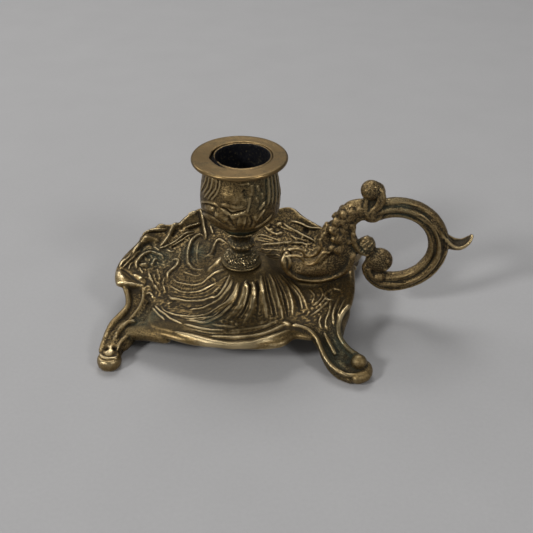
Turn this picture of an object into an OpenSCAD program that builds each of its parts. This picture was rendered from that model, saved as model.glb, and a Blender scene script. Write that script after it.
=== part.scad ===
// Rococo cast-brass chamberstick: a footed drip pan, a knopped stem, a tulip candle
// cup with a loose turned drip plate, and a C-scroll handle held by two screws.
// Millimetres, +Z up. The origin is on the table, on the axis of the stem, and the
// handle points along +X.

/* [Drip pan] */
// Half length of the pan's outline along X, without its lobes
pan_half_x = 50; // [44:1:58]
// Half width of the pan's outline along Y, without its lobes
pan_half_y = 46.5; // [40:0.5:54]
// Squareness of the outline: 2 is an oval, more is squarer
pan_square = 2.6; // [2:0.1:3.4]
// Height of the rim above the table, halfway between front and back
rim_h = 18.5; // [16:0.5:24]
// How much higher the rim stands at the back than at the middle
rim_rise = 3.5; // [0:0.5:6]
// Height of the dish floor above the table
floor_h = 13.8; // [12:0.2:15]
// Thickness of the cast wall
pan_wall = 2.6; // [2:0.2:3.2]
// How far the rolled rim turns down outside its crest
rim_roll = 3.2; // [1:0.2:5]
// How far the left tongue of the rim reaches out
tongue_reach = 6.5; // [0:0.5:8]
// How far the back right wing of the rim reaches out
wing_reach = 4.2; // [0:0.2:7]
// Height of the flat boss that carries the stem
boss_h = 22.6; // [20:0.2:25]
// Radius of that boss
boss_r = 9.2; // [8.8:0.2:11]
// Thickness of the boss
boss_thick = 5.6; // [4:0.2:7]

// Half width of the raised lines on the dish
rib_r = 1.2; // [0.9:0.1:1.4]

/* [Feet] */
// Distance from the stem's axis to the place where a toe rests
toe_reach = 68.3; // [65:0.1:74]
// Angle of the feet from the X axis
foot_angle = 44.5; // [40:0.5:50]
// Width of a foot at its toe
toe_w = 10; // [8:0.5:12]
// Thickness of a foot just above its toe
toe_thick = 6; // [5:0.5:7]
// Radius of the ball at the end of the toe's curl
toe_ball_r = 3.1; // [2.4:0.1:3.6]

/* [Stem] */
// Height of the domed knop that stands on the boss
knop_h = 6; // [5:0.5:9]
// Radius of the knop's base ring
knop_r = 8.6; // [7:0.2:8.6]
// Height of the collar, from its neck to the saucer under the cup
collar_h = 12.6; // [10:0.2:18]
// Radius of the ring round the collar's neck
ring_bead_r = 5.8; // [5:0.2:7]
// Radius of the saucer at the top of the collar
saucer_r = 8.3; // [7.4:0.1:9.5]

/* [Candle cup] */
// Height of the cup, from the saucer to the face that carries the drip plate
cup_h = 31; // [27:0.5:40]
// Radius of the cup at its widest
cup_r = 16.6; // [16:0.2:19]
// Radius of the cup under the drip plate
cup_mouth_r = 15; // [14.8:0.1:16]
// Radius of the candle bore
bore_r = 11; // [9:0.25:11.5]
// Depth of the candle bore below the top of its spigot
bore_depth = 26; // [18:1:26]
// How far the bore lies off the cup's axis, towards the handle
bore_off_x = 1.2; // [0:0.1:1.6]
// How far the bore lies off the cup's axis, towards the back
bore_off_y = 1; // [0:0.1:1.6]

/* [Drip plate] */
// Radius of the drip plate
plate_r = 19.6; // [18:0.2:24]
// Thickness of the drip plate
plate_thick = 1.8; // [1.2:0.1:3]
// Wall of the spigot that stands up inside the plate
spigot_wall = 1; // [0.8:0.1:1.4]
// How far the plate's hole is drilled back from the bore, towards the cup's axis
hole_shift = 0.45; // [0:0.05:0.6]

/* [Handle] */
// Distance from the stem's axis to the curl where the handle's foot starts
handle_start = 21.2; // [20:0.2:24]
// Distance from the stem's axis to the handle's upright
upright_x = 44.2; // [42:0.2:47]
// Distance from the stem's axis to the centre of the finger ring
ring_x = 65; // [63:0.5:70]
// Height of the finger ring's centre above the table
ring_h = 34.8; // [33:0.2:38]
// Radius of the finger ring, along the middle of its bar
ring_r = 18.5; // [17:0.5:20]
// Depth of the handle's bar, seen from the side
bar_depth = 8.2; // [7:0.2:9]
// Width of the handle's bar, seen from above
bar_w = 7; // [6:0.2:8.4]
// How far the thumb spur reaches past the ring's bar
spur_reach = 14; // [8:0.5:18]
// Radius of the ball on top of the handle
finial_r = 3.9; // [3.4:0.1:4.6]

/* [Fasteners] */
// Diameter of the tie rod through the stem
stud_d = 5; // [4:0.5:6]
// Thickness of the nut under the boss
nut_thick = 4; // [3:0.5:5]
// Thickness of the washer under the boss
washer_thick = 1.2; // [0.8:0.1:2]
// Diameter of each handle screw
screw_d = 3; // [2.5:0.1:3.4]
// Length of each screw's shank under its head
screw_len = 9; // [8:0.5:9.5]
// Distance between the two handle screws
screw_pitch = 8.5; // [8:0.5:10]

/* [Clearances] */
// Gap round the tie rod and the screws in their holes
hole_gap = 0.15; // [0.05:0.05:0.3]
// Gap between the drip plate and its spigot on the closer side
plate_gap = 0.12; // [0.05:0.01:0.3]

/* [Hidden] */

cast_brass = "#8a713c";
red_brass = "#7d5f38";
turned_brass = "#b3986a";
steel = "#6f6f6c";

// Stack of the stem, from the table up
knop_top = boss_h + knop_h;
saucer_top = knop_top + collar_h;
seat_h = saucer_top + cup_h;
plate_top = seat_h + plate_thick;
bore_floor = plate_top - bore_depth;
boss_under = boss_h - boss_thick;

// The bore, its spigot and the plate's hole
bore_off = norm([bore_off_x, bore_off_y]);
spigot_r = bore_r + spigot_wall;
spigot_short = 0.3;
hole_back = bore_off > hole_shift ? 1 - hole_shift / bore_off : 0;
plate_hole_r = spigot_r + bore_off * (1 - hole_back) + plate_gap;

// Tie rod
stud_hole_r = stud_d / 2 + hole_gap;
nut_r = 0.92 * stud_d;
rod_tail = 1.4;
rod_cover = 1.2;
rod_top = bore_floor - rod_cover;

// Handle seat and screws
seat_top = floor_h + 1.4;
seat_half_w = 4.4;
screw_x = handle_start + 4.3;
screw_pad_r = screw_d / 2 + 2.2;
screw_pad_under = floor_h - pan_wall - 0.8;
screw_head_r = 0.95 * screw_d;
screw_head_thick = 0.6 * screw_d;
screw_washer_thick = 0.7;
screw_end_gap = 0.5;

sides_fine = 96;
sides_ball = 16;
sides_petal = 12;
sides_toe = 24;
sides_hole = 40;

// ---- helpers ----

// Angle brought between -180 and 180
function wrapped(a) = a - 360 * floor((a + 180) / 360);

// Smooth bump of height 1 at an angle, with the given half width in degrees
function bump(a, at, half) = exp(-pow(wrapped(a - at) / half, 2));

// Smooth curve through hand-chosen points, with the given steps between two of them
function curve_at(p0, p1, p2, p3, u) =
    0.5 * (2 * p1 + (p2 - p0) * u + (2 * p0 - 5 * p1 + 4 * p2 - p3) * u * u
           + (3 * p1 - p0 - 3 * p2 + p3) * u * u * u);
function curve(p, steps) = [
    for (i = [0 : len(p) - 2]) for (k = [0 : steps - 1])
        curve_at(p[max(i - 1, 0)], p[i], p[i + 1], p[min(i + 2, len(p) - 1)], k / steps),
    p[len(p) - 1]
];

// Direction of a path at one of its points
function heading(p, i) =
    let (d = [for (c = [0 : 1]) p[min(i + 1, len(p) - 1)][c] - p[max(i - 1, 0)][c]])
    d / norm(d);

// Faces of a closed tube, made of rings with the same number of points each
function tube_faces(rings, sides) = concat(
    [for (i = [0 : rings - 2]) for (k = [0 : sides - 1])
        let (a = i * sides + k, b = i * sides + (k + 1) % sides)
            each [[a, b, b + sides], [a, b + sides, a + sides]]],
    [[for (k = [sides - 1 : -1 : 0]) k],
     [for (k = [0 : sides - 1]) (rings - 1) * sides + k]]);

function unit(v) = v / norm(v);

// Round cord through points in space, with a radius at each
module cord(at, radii, sides) {
    n = len(at);
    points = [
        for (i = [0 : n - 1])
            let (t = at[min(i + 1, n - 1)] - at[max(i - 1, 0)],
                 across = unit(cross(t, [0, 0, 1])), up = unit(cross(across, t)))
                for (k = [0 : sides - 1]) let (a = 90 + 360 * k / sides)
                    at[i] + radii[i] * (cos(a) * across + sin(a) * up)
    ];
    polyhedron(points, tube_faces(n, sides), convexity = 4);
}

// Bar of oval section along a path in the XZ plane. Each point of the path holds
// x, z, the half depth in the plane and the half width along Y.
module bar(path, sides) {
    rings = len(path);
    points = [
        for (i = [0 : rings - 1]) let (t = heading(path, i), p = path[i])
            for (k = [0 : sides - 1]) let (a = 360 * k / sides)
                [p[0] - t[1] * p[2] * cos(a), p[3] * sin(a), p[1] + t[0] * p[2] * cos(a)]
    ];
    polyhedron(points, tube_faces(rings, sides), convexity = 6);
}

// Round bead with its own small hull, placed in the XZ plane
module bead(x, z, r, squash = 1) {
    translate([x, 0, z]) hull() scale([1, squash, 1]) sphere(r, $fn = sides_ball);
}

// Plain ring: a washer or the like
module ring(r, hole, thick) {
    difference() {
        cylinder(r = r, h = thick, $fn = sides_fine);
        translate([0, 0, -1]) cylinder(r = hole, h = thick + 2, $fn = sides_fine);
    }
}

// ---- drip pan ----

// Radius of the pan's plain outline at an angle
function plain_r(a) =
    pow(pow(abs(cos(a)) / pan_half_x, pan_square) + pow(abs(sin(a)) / pan_half_y, pan_square),
        -1 / pan_square);

// Radius of the rim's outer edge at an angle: lobes between the scrolls, a notch over each
// front foot
function rim_r(a) = plain_r(a)
    + tongue_reach * bump(a, 181, 21)
    + wing_reach * bump(a, 69, 7)
    + 3 * bump(a, 150, 8) + 3.4 * bump(a, 118, 8) - 3 * bump(a, 136, 5)
    - 5 * bump(a, -55, 7) - 0.6 * bump(a, -121, 8) - 1.2 * bump(a, 45, 9)
    - 7.5 * bump(a, -151, 10) - 3 * bump(a, -44, 8);

// Height of the rim's crest at an angle
function rim_z(a) =
    rim_h + rim_rise * sin(a)
    + 2.4 * bump(a, 69, 11) + 1.6 * bump(a, 116, 12)
    - 4 * bump(a, -foot_angle, 11) - 2.5 * bump(a, foot_angle - 184.5, 14);

// Height of the dish's upper face, where share runs from 0 at the axis to 1 at the crest
mound_w = 9.5;
function dish_z(share, a) =
    let (r = share * crest_r(a))
    floor_h + (boss_h - floor_h) * exp(-pow(max(r - boss_r, 0) / mound_w, 2))
    + (rim_z(a) - floor_h) * pow(share, 6) * (r > boss_r ? 1 : 0);
crest_in = 2.4;
function crest_r(a) = rim_r(a) - crest_in;

// Half section of the pan at an angle, from the axis over the rim and back underneath
dish_steps = 8;
function dish_share(i, a) =
    let (start = boss_r / crest_r(a)) start + (1 - start) * i / dish_steps;
function half_section(a) = concat(
    [for (i = [0 : dish_steps])
        let (s = dish_share(i, a)) [s * crest_r(a), i == 0 ? boss_h : dish_z(s, a)]],
    [[rim_r(a) - 0.5, rim_z(a) - 0.3 * rim_roll],
     [rim_r(a), rim_z(a) - 0.8 * rim_roll],
     [rim_r(a) - 0.9, rim_z(a) - rim_roll],
     [crest_r(a) - 0.8, rim_z(a) - max(0.7 * rim_roll, pan_wall)]],
    [for (i = [dish_steps - 1 : -1 : 1])
        let (s = dish_share(i, a)) [s * crest_r(a) - 0.25 * pan_wall, dish_z(s, a) - pan_wall]],
    [[boss_r, boss_under]]
);

pan_sides = 56;
module pan_shell() {
    rows = [for (k = [0 : pan_sides - 1])
        let (a = 360 * k / pan_sides) [for (q = half_section(a)) [q[0] * cos(a), q[0] * sin(a), q[1]]]];
    n = len(rows[0]);
    top = pan_sides * n;
    points = concat([for (row = rows) each row], [[0, 0, boss_h], [0, 0, boss_under]]);
    faces = concat(
        [for (k = [0 : pan_sides - 1]) for (i = [0 : n - 2])
            let (a = k * n + i, b = (k + 1) % pan_sides * n + i)
                each [[a, b, b + 1], [a, b + 1, a + 1]]],
        [for (k = [0 : pan_sides - 1])
            let (a = k * n, b = (k + 1) % pan_sides * n)
                each [[top, b, a], [top + 1, a + n - 1, b + n - 1]]]);
    polyhedron(points, faces, convexity = 8);
}

// Point of the dish's upper face over a place in plan
function on_dish(q) =
    let (a = atan2(q[1], q[0])) [q[0], q[1], dish_z(norm(q) / crest_r(a), a)];

// The main raised lines of the dish, in plan
scroll_lines = [
    // long loop and crook behind the left of the stem
    [[-22, 31], [-26.5, 27], [-27.5, 19], [-25, 9], [-18.5, 0.5]],
    [[-11, 27.5], [-15.5, 26], [-16.5, 18]],
    // shell ribs round the front left of the stem
    [[-31, -2], [-23, -8], [-13, -8.5]],
    [[-32, -8], [-21, -13.5], [-10, -12.5]],
    [[-30.5, -15], [-19, -19.5], [-7, -16.5]],
    [[-32, -23], [-20, -29.5], [-9, -25], [-3, -17]],
    [[-36, -23], [-32.5, -28], [-26.5, -33]],
    // arch and band of the left lobes
    [[-47.5, 1], [-47.5, 10], [-42, 14], [-38, 11]],
    [[-40, 22], [-34, 26.5], [-27, 33]],
    // band along the front, and the bends at the right
    [[-9, -40], [2, -41], [12, -38.5], [21, -31.5]],
    [[15, -8], [21, -14], [22.5, -21]],
    [[40, -12], [39, -20], [36, -27]],
    // ribs of the back
    [[6, 27], [18, 29], [27, 26]],
    [[16, 38], [25, 33], [33, 26]],
    [[38, 9], [37, 16], [31, 21]],
    [[-7, 38], [-3, 31], [-6, 23]],
];
flute_angles = [-108, -92, -76, -60];
flute_span = [12.5, 26];
rib_steps = 2;
rib_sides = 5;
rib_sunk = 0.4 * rib_r;
rib_end_sunk = 0.9 * rib_r;

// Raised line laid on the dish, whose ends sink into it
module dish_rib(line) {
    path = curve(line, rib_steps);
    last = len(path) - 1;
    cord([for (i = [0 : last]) on_dish(path[i]) - [0, 0, i == 0 || i == last ? rib_end_sunk : rib_sunk]],
         [for (q = path) rib_r], rib_sides);
}

// Scrolls of the dish, and the fan of flutes in front of the stem
module dish_ribs() {
    for (line = scroll_lines) dish_rib(line);
    for (a = flute_angles) dish_rib([for (r = flute_span) r * [cos(a), sin(a)]]);
}

// The feet are drawn along +X. Their points are [out, side, up, size]: out runs from 0 at the
// pan's plain outline to 1 over the toe, side is in millimetres, up is a share of the height
// of the feet's roots, and size is a radius or an underside.
foot_h = 0.5 * (rim_h + floor_h);
foot_root = plain_r(foot_angle);
function foot_at(p) = [foot_root + (toe_reach - foot_root) * p[0], p[1], foot_h * p[2]];

// Round cord along points of a foot, whose radii are multiplied by the girth
cord_sides = 8;
module foot_cord(rows, girth = 1) {
    cord([for (q = rows) foot_at(q)], [for (q = rows) girth * q[3]], cord_sides);
}

// Solid leg between two lines of a foot. Its top sags between them, and its flat underside
// is at the heights given in shares of the roots' height.
leg_steps = 3;
module foot_leg(left, right, sag, under) {
    points = [
        for (i = [0 : len(left) - 1])
            let (p = foot_at(left[i]), q = foot_at(right[i]), z = foot_h * under[i])
            each concat(
                [for (k = [0 : leg_steps]) let (s = k / leg_steps)
                    p + (q - p) * s - [0, 0, 4 * sag * s * (1 - s)]],
                [[q[0], q[1], z], [p[0], p[1], z]])
    ];
    polyhedron(points, tube_faces(len(left), leg_steps + 3), convexity = 4);
}

// The same line moved to the side and down, so that a second leg starts inside the first
function inset(line, side) = [for (p = line) [p[0], p[1] - side, p[2] - 0.04]];

// Channelled leg that ends in a curl round a ball
module curled_foot() {
    left = [[-0.77, -4.9, 0.87, 0.9], [-0.47, -1.8, 0.8, 1], [-0.2, -1.3, 0.69, 1.05],
            [0.05, -2.5, 0.55, 1.05], [0.33, -3.8, 0.42, 1.05], [0.63, -3.8, 0.32, 1],
            [0.93, -2.4, 0.27, 1], [1.15, 0.5, 0.28, 0.9]];
    right = [[-0.24, 17.3, 1.09, 1.1], [-0.18, 12.6, 1.02, 1.1], [-0.05, 9, 0.92, 1.1],
             [0.13, 6.2, 0.77, 1.1], [0.36, 5.4, 0.63, 1.2], [0.56, 6, 0.51, 1.2],
             [0.71, 7.2, 0.43, 1.2], [0.89, 7.9, 0.37, 1.2]];
    wall = [[-0.18, 19.7, 0.93], [-0.05, 15.4, 0.78], [0.09, 10.4, 0.63], [0.23, 7.6, 0.51],
            [0.38, 6.3, 0.43], [0.56, 6.5, 0.35], [0.72, 7.6, 0.27], [0.91, 8.2, 0.21]];
    foot_cord(left);
    foot_cord(right);
    foot_leg(left, right, 2, [0.68, 0.62, 0.46, 0.3, 0.16, 0.06, 0.02, 0.02]);
    foot_leg(inset(right, 1.4), wall, 0, [0.72, 0.62, 0.44, 0.3, 0.2, 0.12, 0.06, 0.04]);
    foot_cord([[-0.74, 1.8, 0.68, 0.86], [-0.25, 2.4, 0.46, 0.86], [0.23, 1.6, 0.28, 0.8],
               [0.58, 1, 0.19, 0.72], [0.87, 2, 0.16, 0.66], [0.99, 4.8, 0.18, 0.8]], toe_thick / 2);
    foot_cord([[1.15, 0.5, 0.2, 0.8], [1.2, 3.9, 0.2, 0.8], [1.13, 6.9, 0.21, 0.73],
               [1, 8.5, 0.23, 0.66]], toe_thick / 2);
    translate(foot_at([0.9, 5.5, 0.37])) hull() sphere(1.08 * toe_ball_r, $fn = sides_ball);
    translate([toe_reach - 0.4, 0, 0]) toe_pad(toe_thick / 2 - 1.2);
}

// Leg that drops from the rim, spreads at the knee and ends in a blunt round toe
module knee_foot() {
    left = [[-0.61, -31.7, 1.05, 1.2], [-0.45, -27, 0.89, 1.3], [-0.35, -23.1, 0.74, 1.4],
            [-0.21, -20.5, 0.62, 1.5], [0.03, -18.6, 0.53, 1.7], [0.33, -15.9, 0.45, 1.6],
            [0.68, -11.6, 0.36, 1.5], [1, -6.8, 0.3, 1.3]];
    right = [[-1, -23.4, 1.05, 0.9], [-0.81, -18.9, 0.92, 0.9], [-0.66, -16.1, 0.8, 0.95],
             [-0.48, -14.2, 0.69, 0.95], [-0.26, -12.9, 0.61, 0.9], [-0.06, -11.9, 0.56, 0.8],
             [0.22, -8.4, 0.43, 0.9], [0.56, -3.4, 0.31, 1]];
    inner = [[-0.99, -17.4, 0.76], [-0.75, -11.3, 0.76], [-0.58, -5.6, 0.76], [-0.43, 0.4, 0.75],
             [-0.37, 6.4, 0.74]];
    outer = [[-0.82, -18, 0.8], [-0.5, -13.9, 0.66], [-0.2, -11.7, 0.56], [0, -7.7, 0.53],
             [-0.06, -2, 0.58]];
    foot_cord(left);
    foot_cord(right);
    foot_leg(left, right, 1.2, [0.82, 0.66, 0.52, 0.48, 0.3, 0.1, 0.04, 0.04]);
    foot_leg(inset(outer, 2), inner, 0.8, [0.56, 0.5, 0.46, 0.44, 0.48]);
    foot_cord([[0.02, -14.2, 0.3, 1.13], [0.18, -12.1, 0.28, 1.28], [0.49, -8.5, 0.26, 1.25],
               [0.73, -5.4, 0.25, 1.2], [0.91, -2.6, 0.24, 1.13]], toe_thick / 2);
    foot_cord([[-0.09, -9.2, 0.34, 1.07], [0.16, -7.6, 0.31, 1.1], [0.43, -5.7, 0.27, 1.07]],
              toe_thick / 2);
    // skirt that runs from the knee into the front of the pan
    foot_cord([[0.12, -7, 0.41, 2.8], [0.01, -3.2, 0.51, 3.3], [-0.11, 0.7, 0.59, 3.4],
               [-0.2, 5, 0.67, 3.2], [-0.31, 9.5, 0.7, 2.8]]);
    // looped finger with a bead, laid on the knee
    foot_cord([[0.58, -6.7, 0.46, 1.15], [0.43, -8.7, 0.51, 1.1], [0.23, -10, 0.56, 1.15],
               [0.04, -10.4, 0.59, 1.05], [-0.1, -9.3, 0.59, 0.9]]);
    translate(foot_at([0.6, -6.5, 0.46])) hull() sphere(1.4, $fn = sides_petal);
    translate([toe_reach - 0.5, -1.7, 0]) round_toe();
}

// Flat pad that a curled toe rests on
module toe_pad(rise) {
    hull() {
        cylinder(r = toe_w / 2 - 2.2, h = 1, $fn = sides_toe);
        translate([0, 0, rise]) cylinder(r = toe_w / 2 - 1, h = 1, $fn = sides_toe);
    }
}

// Blunt toe with a rounded edge above and below
module round_toe() {
    r = toe_w / 2;
    hull() {
        cylinder(r = r - 1.3, h = 5.6, $fn = sides_toe);
        translate([0, 0, 0.9]) cylinder(r = r - 0.3, h = 3.6, $fn = sides_toe);
        translate([0, 0, 2.4]) cylinder(r = r, h = 1, $fn = sides_toe);
    }
}

// One pair of feet is the other turned by half a turn
module feet() {
    for (turn = [0, 180]) {
        rotate(turn - foot_angle) curled_foot();
        rotate(turn + 180 + foot_angle) knee_foot();
    }
}

// Long flat seat for the handle, with a round pad under each screw
module handle_seat() {
    for (i = [0 : 1]) translate([screw_x + i * screw_pitch, 0, screw_pad_under])
        cylinder(r = screw_pad_r, h = seat_top - screw_pad_under, $fn = 48);
    hull() for (x = [handle_start + 1, screw_x + screw_pitch + 2])
        translate([x, 0, floor_h - 1]) cylinder(r = seat_half_w, h = seat_top - floor_h + 1, $fn = 32);
}

module drip_pan() {
    color(cast_brass) difference() {
        union() {
            pan_shell();
            dish_ribs();
            feet();
            handle_seat();
        }
        translate([0, 0, boss_under - 1])
            cylinder(r = stud_hole_r, h = boss_thick + 2, $fn = sides_hole);
        for (i = [0 : 1]) translate([screw_x + i * screw_pitch, 0, screw_pad_under - 1])
            cylinder(r = screw_d / 2 + hole_gap, h = seat_top - screw_pad_under + 2, $fn = sides_hole);
    }
}

// ---- stem ----

// Turned piece from a half profile, with the tie rod's hole through it
module turned(profile) {
    difference() {
        rotate_extrude($fn = sides_fine) polygon(concat([[0, profile[0][1]]], profile,
            [[0, profile[len(profile) - 1][1]]]));
        translate([0, 0, profile[0][1] - 1])
            cylinder(r = stud_hole_r, h = profile[len(profile) - 1][1] - profile[0][1] + 2,
                     $fn = sides_fine);
    }
}

module stem_knop() {
    r = knop_r;
    z = boss_h;
    color(red_brass) turned([
        [r - 0.6, z], [r, z + 0.1 * knop_h], [r, z + 0.24 * knop_h], [r - 0.45, z + 0.32 * knop_h],
        [r - 0.25, z + 0.4 * knop_h], [r - 0.8, z + 0.58 * knop_h], [r - 2, z + 0.8 * knop_h],
        [r - 3.4, z + 0.94 * knop_h], [ring_bead_r - 1.6, knop_top]]);
}

module stem_collar() {
    b = ring_bead_r;
    z = knop_top;
    color(red_brass) turned([
        [b - 1.7, z], [b - 1.9, z + 0.06 * collar_h], [b - 1.2, z + 0.14 * collar_h],
        [b - 0.2, z + 0.2 * collar_h], [b, z + 0.27 * collar_h], [b - 0.3, z + 0.34 * collar_h],
        [b - 1.1, z + 0.42 * collar_h], [b - 1, z + 0.52 * collar_h], [b - 0.2, z + 0.68 * collar_h],
        [saucer_r - 1.5, z + 0.84 * collar_h], [saucer_r - 0.4, z + 0.93 * collar_h],
        [saucer_r, z + 0.96 * collar_h], [saucer_r - 0.2, saucer_top]]);
}

// ---- candle cup and drip plate ----

module socket_cup() {
    z = saucer_top;
    r = cup_r;
    foot_r = saucer_r - 0.9;
    color(red_brass) difference() {
        union() {
            rotate_extrude($fn = sides_fine) polygon([
                [0, z], [foot_r, z], [foot_r, z + 0.035 * cup_h], [r - 7.6, z + 0.065 * cup_h],
                [r - 4.8, z + 0.116 * cup_h], [r - 2.5, z + 0.18 * cup_h],
                [r - 0.9, z + 0.25 * cup_h], [r - 0.2, z + 0.34 * cup_h],
                [r, z + 0.43 * cup_h], [r - 0.1, z + 0.52 * cup_h], [r - 0.4, z + 0.61 * cup_h],
                [0.5 * (r + cup_mouth_r) - 0.2, z + 0.75 * cup_h],
                [cup_mouth_r, z + 0.9 * cup_h], [cup_mouth_r - 0.2, seat_h], [0, seat_h]]);
            translate([bore_off_x, bore_off_y, seat_h - 1])
                cylinder(r = spigot_r, h = plate_thick - spigot_short + 1, $fn = sides_fine);
        }
        translate([bore_off_x, bore_off_y, bore_floor])
            cylinder(r = bore_r, h = bore_depth + 1, $fn = sides_fine);
        translate([0, 0, z - 1])
            cylinder(r = stud_hole_r, h = rod_top + hole_gap - z + 1, $fn = sides_fine);
    }
}

// Turned plate with a rounded edge. It sits loose on the cup and lifts off the spigot.
module drip_plate() {
    e = plate_thick / 2;
    color(turned_brass) translate([0, 0, seat_h]) difference() {
        rotate_extrude($fn = sides_fine) union() {
            square([plate_r - e, plate_thick]);
            translate([plate_r - e, e]) intersection() {
                circle(e, $fn = 48);
                translate([0, -e]) square([e, plate_thick]);
            }
        }
        translate([bore_off_x * hole_back, bore_off_y * hole_back, -1])
            cylinder(r = plate_hole_r, h = plate_thick + 2, $fn = sides_fine);
    }
}

// ---- tie rod, washer and nut ----

module centre_stud() {
    low = boss_under - washer_thick - nut_thick - rod_tail;
    color(steel) translate([0, 0, low]) cylinder(r = stud_d / 2, h = rod_top - low, $fn = sides_fine);
}

module centre_washer() {
    color(turned_brass) translate([0, 0, boss_under - washer_thick])
        ring(1.4 * stud_d, stud_hole_r, washer_thick);
}

module centre_nut() {
    color(turned_brass) translate([0, 0, boss_under - washer_thick - nut_thick]) difference() {
        cylinder(r = nut_r, h = nut_thick, $fn = 6);
        translate([0, 0, -1]) cylinder(r = stud_hole_r, h = nut_thick + 2, $fn = sides_fine);
    }
}

// ---- handle ----

module handle_bars() {
    d = bar_depth / 2;
    w = bar_w / 2;
    // foot scroll along the pan, upright, and shoulder that meets the ring
    bar(curve([
        [handle_start, seat_top + 4.6, d - 2.2, w - 0.9],
        [handle_start + 3.5, seat_top + 3.1, d - 0.9, w],
        [handle_start + 9, seat_top + 3.2, d - 0.4, w],
        [handle_start + 15, seat_top + 4.7, d, w],
        [upright_x - 2.8, seat_top + 8.2, d + 0.6, w + 0.2],
        [upright_x, seat_top + 13.6, d + 1, w + 0.3],
        [upright_x, ring_h, d + 1, w + 0.4],
        [upright_x - 0.2, ring_h + 0.33 * ring_r, d + 0.9, w + 0.4],
        [upright_x + 0.5, ring_h + 0.62 * ring_r, d + 0.9, w + 0.4],
        [upright_x + 2.8, ring_h + 0.85 * ring_r, d + 0.5, w + 0.3],
        [0.5 * (upright_x + ring_x) - 3.8, ring_h + 0.98 * ring_r, d + 0.2, w],
        [0.5 * (upright_x + ring_x) + 2, ring_h + 0.97 * ring_r, d - 0.4, w - 0.4]], 3), 12);
    // finger ring: an arc that ends in an inward curl
    arc_from = 112;
    arc_to = -102;
    arc_steps = 26;
    arc = [for (i = [0 : arc_steps]) let (a = arc_from + (arc_to - arc_from) * i / arc_steps)
        [ring_x + ring_r * cos(a), ring_h + ring_r * sin(a), d, w]];
    curl = [[ring_x - 7.6, ring_h - 0.85 * ring_r, d - 0.5, w - 0.2],
            [ring_x - 9.6, ring_h - 0.68 * ring_r, d - 0.7, w - 0.4],
            [ring_x - 7, ring_h - 0.56 * ring_r, d - 0.3, w - 0.4]];
    bar(concat(arc, curve(curl, 3)), 12);
    // thumb spur
    bar(curve([
        [ring_x + ring_r - 1.6, ring_h + 4.4, 3.6, w - 0.4],
        [ring_x + ring_r + 1.6, ring_h + 3.2, 2.9, w - 0.6],
        [ring_x + ring_r + 0.42 * spur_reach, ring_h + 0.9, 1.9, w - 0.9],
        [ring_x + ring_r + 0.7 * spur_reach, ring_h + 1.1, 1.6, w - 0.9],
        [ring_x + ring_r + 0.9 * spur_reach, ring_h + 3, 1.3, w - 1.2],
        [ring_x + ring_r + spur_reach, ring_h + 4.2, 0.7, w - 1.9]], 3), 10);
}

rosette_r = 3.9;
petals = 5;
module handle_beads() {
    // foot curl, side rosette, finial with its neck, inner lobe
    bead(handle_start - 0.9, seat_top + 7.3, 2.1, 1.4);
    bead(upright_x - 2.6, ring_h + 2.6, rosette_r, 1.1);
    for (side = [-1, 1]) for (k = [0 : petals - 1]) let (a = 360 * k / petals)
        translate([upright_x - 2.6 + 0.6 * rosette_r * cos(a), side * (bar_w / 2 + 0.4),
                   ring_h + 2.6 + 0.6 * rosette_r * sin(a)])
            hull() sphere(0.42 * rosette_r, $fn = sides_petal);
    hull() {
        translate([ring_x - 11.8, 0, ring_h + ring_r + 8.2]) sphere(finial_r, $fn = sides_ball);
        translate([ring_x - 10.8, 0, ring_h + ring_r + 7.4]) sphere(finial_r - 0.6, $fn = sides_ball);
    }
    bar(curve([[ring_x - 11.4, ring_h + ring_r - 4, 4, 2.9],
               [ring_x - 11.2, ring_h + ring_r + 2.6, 3.4, 2.7],
               [ring_x - 11.6, ring_h + ring_r + 7.4, 3.2, 2.9]], 3), 10);
    bead(ring_x - 11.2, ring_h + 0.7 * ring_r, 2.3, 1.1);
    // ball and bead of the lower curl, and the leaf bud that meets it
    bead(ring_x - 5.2, ring_h - 0.51 * ring_r, 4.9, 0.78);
    bead(ring_x - 5.4, ring_h - 0.92 * ring_r, 3.1, 1.15);
    bar(curve([[upright_x + 1.6, ring_h + 2.4, 2.2, 2.4],
               [upright_x + 5.6, ring_h - 0.8, 2.9, 2.8],
               [ring_x - 10.4, ring_h - 2.4, 3.1, 2.8],
               [ring_x - 8, ring_h - 5.4, 2.6, 2.4]], 3), 10);
}

module handle() {
    color(red_brass) difference() {
        union() {
            handle_bars();
            handle_beads();
        }
        // flat underside on the pan's seat, and the two tapped holes
        translate([handle_start - 10, -10, seat_top - 10]) cube([upright_x - handle_start + 10, 20, 10]);
        for (i = [0 : 1]) translate([screw_x + i * screw_pitch, 0, seat_top - 1])
            cylinder(r = screw_d / 2 + hole_gap, h = screw_top - seat_top + screw_end_gap + 1, $fn = 48);
    }
}

screw_top = screw_pad_under - screw_washer_thick + screw_len;

module handle_screws() {
    color(steel) for (i = [0 : 1])
        translate([screw_x + i * screw_pitch, 0, screw_pad_under - screw_washer_thick]) {
            cylinder(r = screw_d / 2, h = screw_len, $fn = 48);
            difference() {
                translate([0, 0, -screw_head_thick])
                    cylinder(r = screw_head_r, h = screw_head_thick, $fn = 48);
                translate([-screw_head_r - 1, -0.4, -screw_head_thick - 1])
                    cube([2 * screw_head_r + 2, 0.8, 1.8]);
            }
        }
}

module handle_washers() {
    color(turned_brass) for (i = [0 : 1])
        translate([screw_x + i * screw_pitch, 0, screw_pad_under - screw_washer_thick])
            ring(screw_pad_r - 0.2, screw_d / 2 + hole_gap, screw_washer_thick);
}

drip_pan();
stem_knop();
stem_collar();
socket_cup();
drip_plate();
centre_stud();
centre_washer();
centre_nut();
handle();
handle_screws();
handle_washers();
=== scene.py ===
"""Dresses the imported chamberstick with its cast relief, its finishes and a plain studio."""

import logging
import math
from collections.abc import Callable, Sequence
from dataclasses import dataclass
from enum import Enum

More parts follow.
